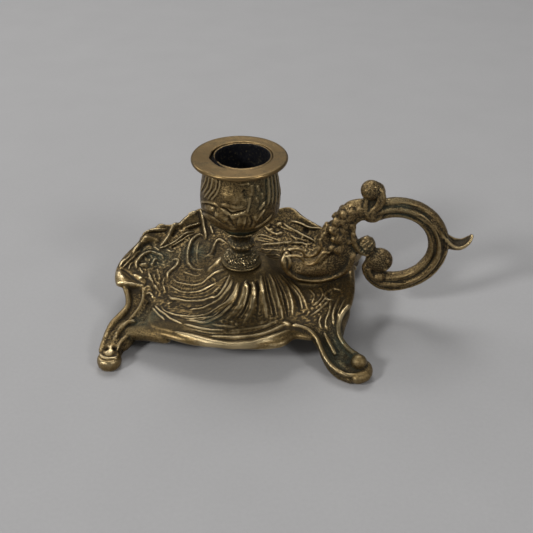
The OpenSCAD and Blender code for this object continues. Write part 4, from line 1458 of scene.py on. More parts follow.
@dataclass
class Stem:
    """Domed knop and ringed collar between the pan and the cup."""

    sides: int = 288
    waist_r: float = 5.8

    def knop(self) -> Piece:
        """Domed knop with a double ring at its base and a grained top."""
        low, high = box_mm("stem_knop")
        r, z, h = high[0], low[2], high[2] - low[2]
        rows = (
            (1.6, 0), (0.5, 0.02), (0, 0.12), (0.1, 0.22), (0.75, 0.29), (0.4, 0.36), (0.25, 0.41),
            (0.95, 0.47), (0.9, 0.56), (1.7, 0.76), (3.3, 0.93), (4.6, 1),
        )
        path = curve([[r - a, z + b * h] for a, b in rows], 10)

        def beads(turn: Array, radius: Array, height: Array) -> Array:
            """Rows of small leaves over the dome."""
            on = rise(height - z, 0.46 * h, 0.08 * h) * rise(radius, 4.4, 1.2)
            row = (height - z) / h
            leaf = np.radians(turn * 16)
            wave = np.sin(leaf + 9 * row) * np.sin(leaf - 9 * row)
            return on * (0.36 * wave + 0.16 * np.sin(np.radians(turn * 47) + 31 * row))

        skin = Skin.plain("knop_cast", lathe(path, self.sides, beads))
        dome = rise(skin.points[:, 2] - z, 0.44 * h, 0.1 * h)
        skin.points += skin.normals() * (skin.lumps(0.8) * (0.06 + 0.30 * dome))[:, None]
        return self.dress(skin, "stem_knop_cast", "stem_knop")

    def collar(self) -> Piece:
        """Collar with a ring bead, a waist of petals and a saucer."""
        low, high = box_mm("stem_collar")
        z, h, saucer, waist = low[2], high[2] - low[2], high[0], self.waist_r
        rows = (
            (1.5, 0), (2, 0.05), (1.8, 0.13), (1, 0.21), (0.2, 0.27), (0, 0.33), (0.2, 0.39),
            (1.1, 0.45), (1.6, 0.52), (1.4, 0.62), (0.6, 0.73),
        )
        brim = ((1.9, 0.83), (1.2, 0.87), (0.3, 0.91), (0, 0.955), (0.3, 0.99), (1.2, 1))
        outline = [[waist - a, z + b * h] for a, b in rows] + [[saucer - a, z + b * h] for a, b in brim]

        def petals(turn: Array, radius: Array, height: Array) -> Array:
            """Ten petals round the waist and fine beading on the ring."""
            percent = (height - z) / h * 100
            sway = 14 * np.sin(np.radians(turn * 2))
            leaf = np.abs(np.sin(np.radians(turn * 5 + sway))) ** 0.7 - 0.6
            bead = bell(percent, 34, 7) * np.sin(np.radians(turn * 18))
            return 0.5 * bell(percent, 62, 15) * leaf + 0.10 * bead

        skin = Skin.plain("collar_cast", lathe(curve(outline, 10), self.sides, petals))
        skin.points += skin.normals() * (skin.lumps(0.9) * 0.10 + skin.lumps(1.9) * 0.16)[:, None]
        return self.dress(skin, "stem_collar_cast", "stem_collar")

    def build(self) -> list[Piece]:
        """Builds both pieces of the stem."""
        return [self.knop(), self.collar()]

    def dress(self, skin: Skin, name: str, node: str) -> Piece:
        """Gives a stem piece its marks and its finish.

        Args:
            skin: the piece's mesh.
            name: the piece's name.
            node: the CAD node that it stands for.

        Returns:
            The finished piece.
        """
        skin.store({Mark.CAVITY: skin.cavity(24, 0.22), Mark.POLISH: 0.15, Mark.GREEN: 0.2})
        piece = skin.piece(name, "chamberstick", node, "red_brass")
        look = CastBrass(name + "_brass", lift=0.03, rough_ridge=0.15, shade=(0.040, 0.030, 0.017))
        piece.data.materials.append(look.material())
        return piece


# ---- candle cup ----

# Lines of the cup's front half, as angle and height.
CUP_LINES = (
    # combed curves at the left
    ridge([(-146, 70), (-147, 67), (-151, 64.5), (-158, 61.5), (-164, 59.5)], 0.6, 0.6),
    ridge([(-138, 70), (-138, 67), (-142, 63.9), (-149, 61)], 0.6, 0.6),
    ridge([(-130, 70.2), (-130, 66.9), (-133, 64.1), (-140, 61.4), (-146, 59.2)], 0.6, 0.65),
    ridge([(-122, 70.2), (-121, 66.8), (-125, 64.4), (-132, 61.6), (-136, 59.5)], 0.6, 0.65),
    ridge([(-115, 70.2), (-115, 67.2), (-118, 64.6), (-124, 62), (-130, 59.8)], 0.6, 0.65),
    # rolled band and small boss under them
    swell([(-158, 55.4), (-146, 57.4), (-134, 58.7), (-123, 59.3), (-116, 58.8)], 1, 0.7),
    swell([(-137, 55.8), (-127, 56.6)], 2, 0.9, 0),
    ridge([(-143, 57), (-133, 58), (-122, 57.9), (-118, 56)], 0.5, -0.6),
    swell([(-161, 50.5), (-146, 52.6), (-131, 53.4), (-120, 53), (-110, 51.6)], 0.7, -0.8),
    swell([(-165, 48.5), (-150, 50.5), (-135, 50.8)], 1.6, 0.5),
    # central boss over its crease
    swell([(-103, 63.4), (-91, 63)], 3.6, 1.3, 0),
    swell([(-112, 60.1), (-104, 60.3), (-96, 60), (-88, 59.6), (-79, 59.8)], 1.5, 0.8),
    ridge([(-112, 58.5), (-104, 58.3), (-99, 57.3), (-95, 56.7), (-90, 57.1), (-82, 57.8), (-76, 58.3)],
          0.6, -1.5),
    swell([(-113, 57), (-103, 56.3), (-95, 54.9), (-87, 55.7), (-79, 56.2), (-71, 55.8)], 1.6, 0.3),
    # lobes of the bowl
    swell([(-122, 55.2), (-111, 54.4), (-102, 52.8)], 3, 0.9),
    swell([(-88, 53.4), (-76, 52.8)], 3.4, 0.9, 0.1),
    swell([(-64, 53.6), (-52, 54.6)], 2.6, 0.7, 0.1),
    swell([(-100, 56), (-98, 54), (-92, 50.6)], 0.8, -0.7),
    swell([(-70, 55.6), (-67, 52.4), (-70, 49.4)], 0.7, -0.6),
    swell([(-112, 51.4), (-101, 49.6), (-90, 49)], 1.4, 0.5),
    ridge([(-33, 52.8), (-40, 51.4), (-51, 50), (-62, 49)], 0.9, 0.7),
    # leaf, bar and dark corner at the right of the boss
    swell([(-84, 68.8), (-76, 69), (-68, 68.6)], 0.9, 0.6),
    swell([(-78, 66.6), (-76, 64.6), (-75, 62.4)], 1.7, -1.3),
    swell([(-68, 68.4), (-66, 66.4), (-68, 63.8)], 1.7, 0.7),
    ridge([(-68, 63.4), (-71, 60.2), (-74, 57)], 0.6, 0.4),
    ridge([(-44, 60), (-51, 58.8), (-57, 57.2)], 0.8, 0.8),
    ridge([(-47, 57), (-55, 55), (-62, 52.4)], 0.8, 0.9),
    swell([(-57, 67.5), (-54, 65)], 1.3, 0.6),
    swell([(-60, 63), (-57, 60.5)], 1.2, 0.5),
    swell([(-50, 64), (-49, 61.5)], 1, 0.5),
    # flutes at the right
    swell([(-39, 69), (-41, 63), (-47, 58.5)], 0.7, -0.9),
    ridge([(-34, 70), (-36, 62.5), (-42, 58)], 0.8, 0.6),
    ridge([(-26, 70), (-28, 63), (-33, 57.5)], 0.8, 0.6),
    ridge([(-16, 70), (-18, 62), (-25, 56)], 0.8, 0.6),
    ridge([(-5, 70), (-7, 61), (-14, 55)], 0.8, 0.6),
)


@dataclass
class CandleCup:
    """Tulip cup cast with leaves, and bored for the candle."""

    sides: int = 560
    rows: int = 190
    off: tuple[float, float] = (1.2, 1.0)
    bowl_h: float = 31
    foot_r: float = 7.4
    bore_r: float = 11
    wall: float = 1
    bore_floor: float = 48
    mouth: tuple[float, float, float] = (12.49, -0.346, -0.288)
    relief_share: float = 0.62
    mean_r: float = 16

    def profile(self) -> Array:
        """Radius and height of the cup's outside, from the bottom up."""
        low, high = box_mm("socket_cup")
        z, r, h = low[2], high[0], self.bowl_h
        bowl = (
            (7.6, 0.065), (4.8, 0.116), (2.5, 0.18), (0.9, 0.25), (0.2, 0.34), (0, 0.43),
            (0.1, 0.52), (0.4, 0.61), (1.1, 0.75), (1.9, 0.9), (2.2, 1),
        )
        foot = [[self.foot_r, z], [self.foot_r, z + 0.035 * h]]
        return np.array(foot + [[r - a, z + b * h] for a, b in bowl])

    def relief(self, turn: Array, height: Array) -> Array:
        """Height of the relief on the cup's outside, with its front repeated at the back.

        Args:
            turn: the angle of each point in degrees.
            height: its height above the table.

        Returns:
            The relief in millimetres.
        """
        scale = math.radians(1) * self.mean_r
        relief = Relief(np.stack([turn.ravel() * scale, height.ravel()], -1))
        for stroke in CUP_LINES:
            path = curve(stroke.points, 6)
            relief.add(stroke, path * np.array([scale, 1]))
            relief.add(stroke, path * np.array([-scale, 1]) + np.array([-6 * scale, 0]))
        return self.relief_share * relief.height().reshape(turn.shape)

    def section(self) -> list[list[float]]:
        """Rows of radius, height and centre: up the outside, over the spigot and down the bore."""
        outline = self.profile()
        heights = np.linspace(outline[0, 1], outline[-1, 1], self.rows)
        radii = np.interp(heights, outline[:, 1], outline[:, 0])
        for _ in range(8):
            radii[1:-1] = 0.25 * radii[:-2] + 0.5 * radii[1:-1] + 0.25 * radii[2:]
        x, y = self.off
        seat, top = outline[-1, 1], box_mm("socket_cup")[1][2]
        bore, base = self.bore_r, self.bore_floor
        spigot = bore + self.wall
        inside = [(spigot, seat), (spigot, top - 0.2), (spigot - 0.25, top), (bore + 0.2, top)]
        inside += [(bore, top - 0.25), *[(bore, z) for z in np.linspace(top - 1, base + 0.8, 50)]]
        inside += [(bore - 0.8, base), (5, base), (0.05, base)]
        rows = [[r, z, 0, 0] for r, z in zip(radii, heights, strict=True)]
        return [*rows, [13.4, seat, 0.6 * x, 0.6 * y], *[[r, z, x, y] for r, z in inside]]

    def leaves(self, turn: Array, radius: Array, height: Array) -> Array:
        """Relief on the outside rows, and a worn spigot that follows the plate's hole.

        Args:
            turn: the angle of each point in degrees.
            radius: its plain radius.
            height: its height above the table.

        Returns:
            What is added to the radius.
        """
        added, outer = np.zeros_like(radius), self.rows
        fade = rise(height[:outer], 43.2, 1.5) * rise(height[:outer], 72, -1)
        added[:outer] = fade * self.relief(turn[:outer], height[:outer])
        q, (reach, dx, dy) = np.radians(turn[0]), self.mouth
        across = dx * np.sin(q) - dy * np.cos(q)
        hole = dx * np.cos(q) + dy * np.sin(q) + np.sqrt(reach**2 - across**2)
        worn = bell(turn[0], -155, 40)
        added[outer + 1 : outer + 4] = (hole - self.bore_r - self.wall) * (1 - worn) - 0.65 * worn
        return added

    def build(self) -> list[Piece]:
        """Builds the cup and gives it its marks and finishes."""
        skin = Skin.plain("cup_cast", lathe(self.section(), self.sides, self.leaves))
        row, outer = np.arange(len(skin.points)) // self.sides, self.rows
        rough = skin.lumps(1.6) * 0.10 + skin.lumps(0.8) * 0.06
        rough[row >= outer + 4] *= 1.5
        rough[(row >= outer) & (row < outer + 4)] = 0
        skin.points += skin.normals() * rough[:, None]
        skin.relax(1, 0.3)
        x, z = skin.points[:, 0], skin.points[:, 2]
        # Painted shade: the cup's upper right side gets the dark green tint, so that side renders darker.
        right = rise(x, 0, 10) * rise(z, 55, 5) * (row < outer)
        skin.store({
            Mark.CAVITY: skin.cavity(26, 0.34),
            Mark.POLISH: np.interp(z, (44, 49, 57, 60, 72), (0.05, 0.30, 0.30, 0.25, 0.15)),
            Mark.GREEN: np.maximum(rise(z, 49, -4) * 0.95, 0.4 * right),
            # Black from the spigot's side down into the bore: smoke and wax in the bore, painted shade on
            # the spigot's side in the gap under the plate.
            Mark.SOOT: row > outer,
        })
        piece = skin.piece("socket_cup_cast", "chamberstick", "socket_cup", "red_brass")
        tones = {"shade": (0.060, 0.042, 0.021), "ridge": (0.38, 0.285, 0.145)}
        piece.data.materials.append(SocketBrass("cup_brass", lift=0.11, **tones).material())
        piece.data.materials.append(TurnedBrass("mouth_brass").material())
        for face in piece.data.polygons:
            face.material_index = int(outer + 2 <= face.index // self.sides <= outer + 3)
        return [piece]


@dataclass
class DripPlate:
    """Loose turned plate whose hole is drilled off its centre."""

    sides: int = 288
    hole_r: float = 12.57
    hole: tuple[float, float] = (0.854, 0.712)
    face_in: float = 2.2
    dish: float = 0.10
    nicks: tuple[Spot, ...] = ((-165, 9, 1), (-128, 6, 0.7), (168, 5, 0.4))

    def build(self) -> list[Piece]:
        """Builds the plate."""
        low, high = box_mm("drip_plate")
        z0, z1, r, hole = low[2], high[2], high[0], self.hole_r
        e = 0.5 * (z1 - z0)
        x, y = self.hole
        face = r - self.face_in
        rows = [[hole + 0.15, z0, x, y], [r - 3, z0, 0, 0]]
        for a in np.radians(range(-90, 91, 12)):
            rows.append([r - e + e * math.cos(a), z0 + e + e * math.sin(a), 0, 0])
        rows.append([face, z1 - 0.04, 0, 0])
        for share in (0.75, 0.5, 0.25, 0.08):
            off = (x * (1 - share), y * (1 - share))
            rows.append([hole + (face - hole) * share, z1 - self.dish, *off])
        rows += [[hole + 0.12, z1 - 0.14, x, y], [hole, z1 - 0.3, x, y], [hole, z0 + 0.15, x, y]]

        def worn(turn: Array, radius: Array, height: Array) -> Array:
            """Small dents round the rim, and nicks in the hole's left edge."""
            rim = rise(radius, r - 1.5, 1.5) * (0.06 * np.sin(np.radians(3 * turn + 40)) - 0.06)
            nick = 0.5 * rise(radius, hole + 0.6, -0.6) * rise(height, z0, e)
            return rim + nick * bells(turn, self.nicks)

        skin = Skin.plain("plate_turned", hollow(rows, self.sides, worn))
        skin.points[:, 2] += 0.05 * skin.lumps(9)
        skin.points[:, 2] = np.minimum(skin.points[:, 2], z1)
        piece = skin.piece("drip_plate_turned", "plate", "drip_plate", "turned_brass")
        piece.data.materials.append(TurnedBrass("turned_brass").material())
        return [piece]


# ---- handle ----


@dataclass
class Handle:
    """Scrolled handle with a finger ring, a thumb spur and a hooded finial."""

    start: float = 21.2
    seat: float = 15.2
    upright: float = 44.2
    ring_x: float = 65
    ring_h: float = 34.8
    ring_r: float = 18.5
    depth: float = 4.1
    half_w: float = 3.5
    spur: float = 14
    voxel: float = 0.27
    bosses: tuple[Spot, ...] = (
        (-4.9, 7.6, 2.1), (-3.9, 11.6, 1.9), (-1.2, 15.2, 1.9), (1.9, 16.6, 1.7), (5, 17.8, 1.8),
        (-1.6, 11.8, 1.8), (1.8, 13.6, 1.6), (2.2, 10, 1.4), (-2.6, 3.6, 2.3), (-4.6, 3.2, 1.5),
        (-1.2, 5.6, 1.5), (-3.4, 5.9, 1.4), (-2.2, 1.4, 1.3), (-5.4, -1.4, 1.6), (-2.2, -2.2, 2),
        (1.6, 2.4, 1.4),
    )
    dots: Plan = (
        (8.6, -0.6), (10.4, 0.8), (11.4, -1), (10, -2.4), (8.2, 1.6), (11.2, 1.6), (7.6, -1.8),
        (9.6, 2.4), (9.4, -0.6),
    )

    def beam(self, x: float, z: float, rows: Rows, ribs: Sequence[Spot] = ()) -> Form:
        """A bar whose rows of x, z, half depth and half width are counted from a place."""
        return bar([[x + a, z + b, deep, wide] for a, b, deep, wide in rows], ribs)

    def edges(self, x: float, z: float, *cords: Rows) -> list[Form]:
        """Cords on both side faces, counted from a place.

        Args:
            x: the place along X.
            z: the place along Z.
            cords: for each one rows of x from the place, y from the face, z from the place
                and radius.

        Returns:
            Every cord, twice.
        """
        w, made = self.half_w, []
        for rows in cords:
            path = [[x + a, w + b, z + c, r] for a, b, c, r in rows]
            made += [cord(path), cord([[a, -b, c, r] for a, b, c, r in path])]
        return made

    def base(self) -> list[Form]:
        """Foot scroll: a deep channel between two rims, with a rolled end."""
        x0, z0 = self.start, self.seat
        made = [
            self.beam(x0, z0, (
                (-1.6, 10.6, 1.6, 2.2), (-0.4, 7.2, 2.6, 2.2), (3, 4.8, 4, 2.6),
                (8.5, 5, 4.6, 2.9), (14.5, 6.2, 5.4, 2.9), (20, 9.6, 6.2, 2.8),
                (22.8, 14.8, 6, 3), (22, 20, 5, 3),
            )),
            ball(x0 - 1.6, 0, z0 + 10.4, (1.9, 3.1, 3.4)),
        ]
        made += self.edges(x0, z0, (
            (-2.4, -1, 13.2, 0.9), (-2.6, -0.7, 10.8, 1.6), (-1.8, -0.6, 7.4, 1.5),
            (0.6, -0.6, 3.9, 1.1), (4, -0.5, 2, 0.9), (8.5, -0.5, 1.2, 0.8), (13.5, -0.7, 1.3, 0.8),
            (18, -1.2, 2.6, 0.9), (22.3, -1.5, 5, 1.3), (25.6, -1.4, 9.4, 1.7),
            (26.8, -1.4, 15, 1.7),
        ), (
            (-0.8, -0.8, 13.2, 0.8), (0.2, -0.2, 10.6, 0.9), (-0.6, -0.4, 7.8, 0.9),
        ), (
            (-0.2, -1, 13.4, 0.7), (2.2, -0.8, 13.6, 0.8), (4.4, -0.7, 13.4, 0.8),
            (6, -0.8, 11.2, 0.6),
        ), (
            (5.2, -0.8, 10.2, 0.6), (8.2, -0.4, 9.8, 0.8), (11, -0.2, 11.2, 1),
            (12.8, -0.2, 14.4, 0.9), (14.4, 0, 16.6, 0.8), (16.6, 0, 16.9, 0.7),
        ), (
            (14.9, -2, 26.4, 0.6), (13.4, -1.7, 23.4, 0.8), (12.6, -1.5, 21.2, 0.9),
            (13.6, -1.3, 18.8, 0.9), (15.4, -1, 17.6, 0.8),
        ))
        made.append(self.beam(x0, z0, (
            (16, 29, 1.6, 1.6), (14.6, 24.4, 2.2, 2.2), (15, 20.4, 2.8, 2.4), (17.4, 16, 3.4, 2.4),
        )))
        return made

    def knots(self) -> list[Form]:
        """Upright and shoulder, grown over with knots, and the side rosette."""
        w, ux, rh, rr = self.half_w, self.upright, self.ring_h, self.ring_r
        made = [self.beam(ux, rh, (
            (-1.2, -5, 5.2, w - 0.2), (-1.1, 2, 5.2, w), (-0.9, 0.36 * rr, 5, w),
            (0.2, 0.66 * rr, 5, w), (3.4, 0.86 * rr, 5, w), (8.4, 0.92 * rr, 4.7, w),
            (13.5, 0.97 * rr, 4.3, w - 0.4), (17.5, 0.98 * rr, 3.2, w - 1.2),
            (20.5, 0.98 * rr, 1.6, w - 2.2),
        ), ((62, 12, -0.14), (118, 12, -0.14)))]
        for x, z, r in self.bosses:
            radii = (1.15 * r, 0.8 * r, 1.15 * r)
            made += [ball(ux + x, side * (w - 1.2), rh + z, radii) for side in (-1, 1)]
        return made

    def ring(self) -> list[Form]:
        """Finger ring with two grooves on each face, and the curl that ends it."""
        d, w, rx, rh, rr = self.depth, self.half_w, self.ring_x, self.ring_h, self.ring_r
        arc = []
        for i in range(28):
            q = math.radians(118 - 220 * i / 27)
            arc.append([rx + rr * math.cos(q), rh + rr * math.sin(q), d + 0.25, w])
        curl = [
            [rx - 7.8, rh - 0.83 * rr, d - 0.5, w - 0.1],
            [rx - 9.6, rh - 0.62 * rr, d - 0.9, w - 0.5],
            [rx - 7, rh - 0.5 * rr, d - 0.3, w - 0.6],
        ]
        grooves = ((60, 9, -0.30), (116, 10, -0.34), (88, 9, 0.06), (138, 10, 0.06))
        made = [bar([*arc, *curl], grooves, 4)]
        made.append(ball(rx - 5.6, 0, rh - 0.43 * rr, (5.9, 3.9, 5.9)))
        made.append(ball(rx - 5.4, 0, rh - 0.82 * rr, (3.2, 4.2, 2.8)))
        for x, z in ((rx - 2.4, rh - 6.2), (rx - 3.0, rh - 10.4)):
            made += [ball(x, 3.0 * side, z, (1.1, 0.9, 1.1)) for side in (-1, 1)]
        return made

    def thumb_spur(self) -> list[Form]:
        """Spoon that grows out of the ring's outer band and turns up at its end."""
        far, rh, w = self.ring_x + self.ring_r, self.ring_h, self.half_w
        made = [self.beam(far, rh, (
            (-1.5, 5.2, 3.2, w - 0.9), (2.4, 3, 2.4, w - 0.4), (5.6, 1.3, 1.3, w - 0.2),
            (9, 1.3, 0.9, w - 0.2), (11.6, 3, 0.8, w - 0.8), (self.spur - 1.2, 5, 0.7, w - 1.6),
        ))]
        made += self.edges(far, rh, (
            (-4.6, -1.6, 14.4, 0.9), (-1.4, -1, 10, 0.9), (2.2, -0.5, 5.6, 0.8),
            (6, -0.3, 2.6, 0.75), (9.4, -0.5, 2.2, 0.7), (11.9, -1.3, 4, 0.7),
            (self.spur - 1, -2.6, 5.8, 0.7), (self.spur - 0.8, -3.5, 6.2, 0.7),
        ))
        return made

    def finial(self) -> list[Form]:
        """Hooded ball over a lobe, where the shoulder meets the ring."""
        rx, top = self.ring_x, self.ring_h + self.ring_r
        made = [
            ball(rx - 11.6, 0, top + 7.4, (4.3, 4.0, 4.3)),
            self.beam(rx, top, (
                (-10.8, -3.4, 4, 2.4), (-10.4, 2.6, 3.4, 2.1), (-11.2, 6.6, 3, 2.6),
            )),
            ball(rx - 10.4, 0, top - 3.0, (4.3, 4.0, 4.3)),
        ]
        made += self.edges(rx, top, (
            (-9.2, -2.7, 10, 0.9), (-7.6, -1.6, 8, 1.3), (-6.8, -1, 4.8, 1.5),
            (-7.9, -0.7, 1.8, 1.4), (-10.4, -0.3, -1, 1.1),
        ), (
            (-9.4, -1.1, 9.4, 0.6), (-8.2, -0.5, 5.4, 0.8), (-9.2, -0.2, 2.2, 0.8),
            (-12.2, 0, -1.6, 0.6),
        ), (
            (-13.2, -1.5, 5, 0.8), (-13.4, -0.9, 1, 1), (-12.6, -0.7, -2.6, 1),
            (-10.4, -0.7, -5.2, 0.9), (-7.8, -0.7, -4.2, 0.9), (-6.3, -0.8, -1, 0.8),
        ))
        return made

    def bud(self) -> list[Form]:
        """Leaf bud that meets the lower curl."""
        ux, rh = self.upright, self.ring_h
        made = [
            self.beam(ux, rh, (
                (2, 1, 3, 2.4), (5.6, -1.6, 3.2, 2.8), (9.2, -0.6, 3, 3),
                (12.4, -4.6, 2.2, 2.4),
            )),
            ball(ux + 9.3, 0, rh - 0.2, (3.8, 3.5, 3.8)),
        ]
        made += self.edges(ux, rh, (
            (3.6, -1.6, 10.6, 0.8), (3.2, -1.2, 7.6, 1), (3.4, -0.9, 4.2, 1.1),
            (4.4, -0.7, 1, 1.1), (7, -0.7, -2.6, 1), (9.8, -0.9, -3.7, 0.8),
        ))
        return made

    def blank(self) -> Skin:
        """The handle before its lines are cut."""
        parts = (self.base, self.knots, self.ring, self.thumb_spur, self.finial, self.bud)
        form = joined([f for part in parts for f in part()])
        form.points = self.seated(form.points)
        skin = Skin.fused("handle_cast", form, self.voxel)
        skin.relax(7)
        return skin

    def seated(self, points: Array) -> Array:
        """The points, with the foot scroll kept flat on its seat."""
        low = (points[:, 0] < self.upright) & (points[:, 2] < self.seat)
        return np.column_stack([points[:, :2], np.where(low, self.seat, points[:, 2])])

    def strokes(self) -> list[Stroke]:
        """Lines of the side faces, as X and Z."""
        ux, rx, rh, rr = self.upright, self.ring_x, self.ring_h, self.ring_r
        made = []
        for k, off in enumerate((-2.9, -1.9, -0.9, -0.2, 0.6, 1.5, 2.3, 3.1)):
            for start in range(-92, 96, 47):
                first = start + 13 * math.sin(2.3 * k + start)
                span = 30 + 12 * math.sin(1.7 * k + 0.4 * start)
                arc = np.radians(np.linspace(first, min(first + span, 100), 7))
                r = rr + off + 0.5 * np.sin(3 * arc + 1.9 * k)
                path = list(zip(rx + r * np.cos(arc), rh + r * np.sin(arc), strict=True))
                deep = 0.34 if (k + start) % 2 else -0.36
                made.append(ridge(path, 0.34 + 0.1 * math.sin(3.1 * k + start), deep))
        for x in np.linspace(self.start + 3.4, self.start + 16.5, 24):
            z = self.seat + 1.9 + 0.024 * (x - self.start - 8.5) ** 2
            made.append(ridge([(x, z), (x + 0.25, z + 2.2)], 0.24, -0.3))
        for x, z in self.dots:
            made.append(ridge([(ux + x - 0.2, rh + z), (ux + x + 0.2, rh + z + 0.2)], 0.5, 0.4, 0))
        return made

    def build(self) -> list[Piece]:
        """Cuts the lines into both faces of the blank and gives it its finish."""
        skin = self.blank()
        normals = skin.normals()
        relief = Relief(skin.points)
        strokes = self.strokes()
        for side in (-1, 1):
            lines = skin.lines_on(strokes, Vector((0, -side, 0)), lambda p, s=side: (p[0], 30 * s, p[1]))
            for stroke, line in zip(strokes, lines, strict=True):
                relief.add(stroke, line)
        ux, rx, rh = self.upright, self.ring_x, self.ring_h
        height = relief.height()
        rough = close_to(skin.points[:, ::2], ((ux - 3, 44, 13), (ux + 9, rh, 5)))
        height += skin.lumps(2.0) * (0.06 + 0.24 * rough) + skin.lumps(0.95) * (0.08 + 0.20 * rough)
        skin.points = self.seated(skin.points + normals * height[:, None])
        skin.relax(1, 0.3)
        x, z, side_on = skin.points[:, 0], skin.points[:, 2], skin.points[:, ::2]
        # Painted shade: the cavity is lowered at the upright's foot and round the lower curl, and the
        # finial ball is given a darker tone.
        dark = close_to(side_on, ((rx - 5.5, 27.5, 6), (ux, 24, 6), (rx - 11.5, 61, 4)))
        green = close_to(side_on, ((ux + 9, rh, 5), (rx + 2, 52, 9)))
        thumb = 0.3 * rise(x, 80, 6) + 0.05 * rise(z, 58, 4)
        skin.store({
            Mark.CAVITY: skin.cavity(18, 0.36) - 0.14 * dark,
            Mark.POLISH: np.maximum(thumb, 0.6 * rise(x, self.start + 2, -2)),
            Mark.GREEN: 0.12 + 0.38 * green,
        })
        piece = skin.piece("handle_cast", "chamberstick", "handle", "handle_brass")
        tones = {
            "shade": (0.058, 0.038, 0.019),
            "body": (0.200, 0.132, 0.056),
            "ridge": (0.42, 0.300, 0.142),
        }
        piece.data.materials.append(CastBrass("handle_brass", lift=0.03, **tones).material())
        return [piece]


# ---- fasteners ----


@dataclass
class Fasteners:
    """Tie rod with its washer and nut, and the two screws that hold the handle."""

    sides: int = 96
    rod_pitch: float = 0.8
    rod_cut: float = 0.2
    rod_thread: float = 9
    rod_hole: float = 2.65
    nut_hole: float = 2.5
    screw_pitch: float = 0.5
    screw_cut: float = 0.12
    screw_r: float = 1.5
    screw_hole: float = 1.65
    dome_h: float = 0.9
    head_h: float = 1.8
    slot_half: float = 0.4
    sharp_from: float = 35

    def thread(self, turn: Array, height: Array, pitch: float, cut: float) -> Array:
        """What a thread takes off the radius; cut is half of its depth."""
        return -cut * (1 + np.cos(2 * np.pi * height / pitch - np.radians(turn)))

    def rod(self) -> list[Piece]:
        """Tie rod with a rolled thread at its lower end."""
        low, high = box_mm("centre_stud")
        r, z0, z1 = high[0], low[2], high[2]
        threaded = np.linspace(z0 + 0.4, z0 + self.rod_thread, 90)
        rows = [[0.05, z0], [r - 0.6, z0], *[[r, z] for z in threaded]]
        rows += [[r, z1 - 0.4], [r - 0.4, z1], [0.05, z1]]

        def cut(turn: Array, radius: Array, height: Array) -> Array:
            """Thread that ends a little above the nut."""
            on = (height > z0 + 0.3) & (height < z0 + self.rod_thread + 0.05) & (radius > r - 0.1)
            return np.where(on, self.thread(turn, height, self.rod_pitch, self.rod_cut), 0)

        form = lathe(rows, self.sides, cut)
        return self.finish("centre_stud", "tie_rod", form, OldSteel("rod_steel"), "steel")

    def nut(self) -> list[Piece]:
        """Hexagon nut with chamfered corners."""
        low, high = box_mm("centre_nut")
        z0, z1, r, hole = low[2], high[2], high[0], self.nut_hole
        rows = [[hole, z0 + 0.3], [hole + 0.4, z0], [r - 0.7, z0], [r, z0 + 0.5]]
        rows += [[r, z1 - 0.5], [r - 0.7, z1], [hole + 0.4, z1], [hole, z1 - 0.3]]

        def hexagon(turn: Array, radius: Array, height: Array) -> Array:
            """Six flats, under the chamfer's own radius."""
            flat = r * math.cos(math.radians(30)) / np.cos(np.radians(np.mod(turn, 60) - 30))
            return np.where(radius > hole + 1, np.minimum(flat, radius) - radius, 0)

        form = hollow(rows, self.sides, hexagon)
        look = TurnedBrass("nut_brass", rough=0.45)
        return self.finish("centre_nut", "rod_nut", form, look, "washer_brass")

    def washer(self) -> list[Piece]:
        """Flat washer with rounded edges."""
        low, high = box_mm("centre_washer")
        form = self.disc(self.rod_hole, high[0], low[2], high[2])
        look = TurnedBrass("washer_brass", rough=0.5)
        return self.finish("centre_washer", "rod_washer", form, look, "washer_brass")

    def disc(self, hole: float, r: float, z0: float, z1: float) -> Form:
        """Washer with a softened edge.

        Args:
            hole: radius of its hole.
            r: its outer radius.
            z0: its lower face.
            z1: its upper face.

        Returns:
            The form.
        """
        e = 0.3 * (z1 - z0)
        under = [[hole, z0 + e], [hole + e, z0], [r - e, z0], [r, z0 + e]]
        over = [[r, z1 - e], [r - e, z1], [hole + e, z1], [hole, z1 - e]]
        return hollow(under + over, self.sides)

    def screws(self) -> list[Piece]:
        """Two round-headed slotted screws and their washers."""
        low, high = box_mm("handle_screws")
        wash_low, wash_high = box_mm("handle_washers")
        z, tip, r, dome = low[2], high[2], self.screw_r, self.dome_h
        head_r = 0.5 * (high[1] - low[1])
        rows = [[0.05, z]]
        for a in np.radians(range(8, 91, 8)):
            rows.append([head_r * math.sin(a), z + dome - dome * math.cos(a)])
        rows += [[head_r, z + self.head_h], [r, z + self.head_h]]
        rows += [[r, at] for at in np.linspace(z + self.head_h + 0.1, tip - 0.4, 60)]
        rows += [[1.0, tip], [0.05, tip]]

        def cut(turn: Array, radius: Array, height: Array) -> Array:
            """Thread on the shank."""
            on = (height > z + self.head_h + 0.2) & (radius > r - 0.1)
            return np.where(on, self.thread(turn, height, self.screw_pitch, self.screw_cut), 0)

        screw = lathe(rows, self.sides, cut)
        slot = (np.abs(screw.points[:, 1]) < self.slot_half) & (screw.points[:, 2] < z + dome)
        screw.points[slot, 2] = z + dome
        disc = self.disc(self.screw_hole, wash_high[1], wash_low[2], wash_high[2])
        places = (low[0] + head_r, high[0] - head_r)
        heads, discs = (joined([form.moved(x) for x in places]) for form in (screw, disc))
        steel, brass = OldSteel("screw_steel"), TurnedBrass("screw_washer_brass", rough=0.5)
        return [
            *self.finish("handle_screws", "handle_screws_slotted", heads, steel, "steel"),
            *self.finish("handle_washers", "screw_washers", discs, brass, "washer_brass"),
        ]

    def build(self) -> list[Piece]:
        """Builds every fastener."""
        return [*self.rod(), *self.nut(), *self.washer(), *self.screws()]

    def finish(self, node: str, name: str, form: Form, look: Finish, slot: str) -> list[Piece]:
        """Turns a form into a dressed piece.

        Args:
            node: the CAD node that it stands for.
            name: the piece's name.
            form: its mesh.
            look: its finish.
            slot: the record's material slot.

        Returns:
            The finished piece, in a list of its own.
        """
        piece = Skin.plain(name, form).piece(name, "chamberstick", node, slot)
        piece.data.set_sharp_from_angle(angle=math.radians(self.sharp_from))
        piece.data.materials.append(look.material())
        return [piece]


# ---- studio ----


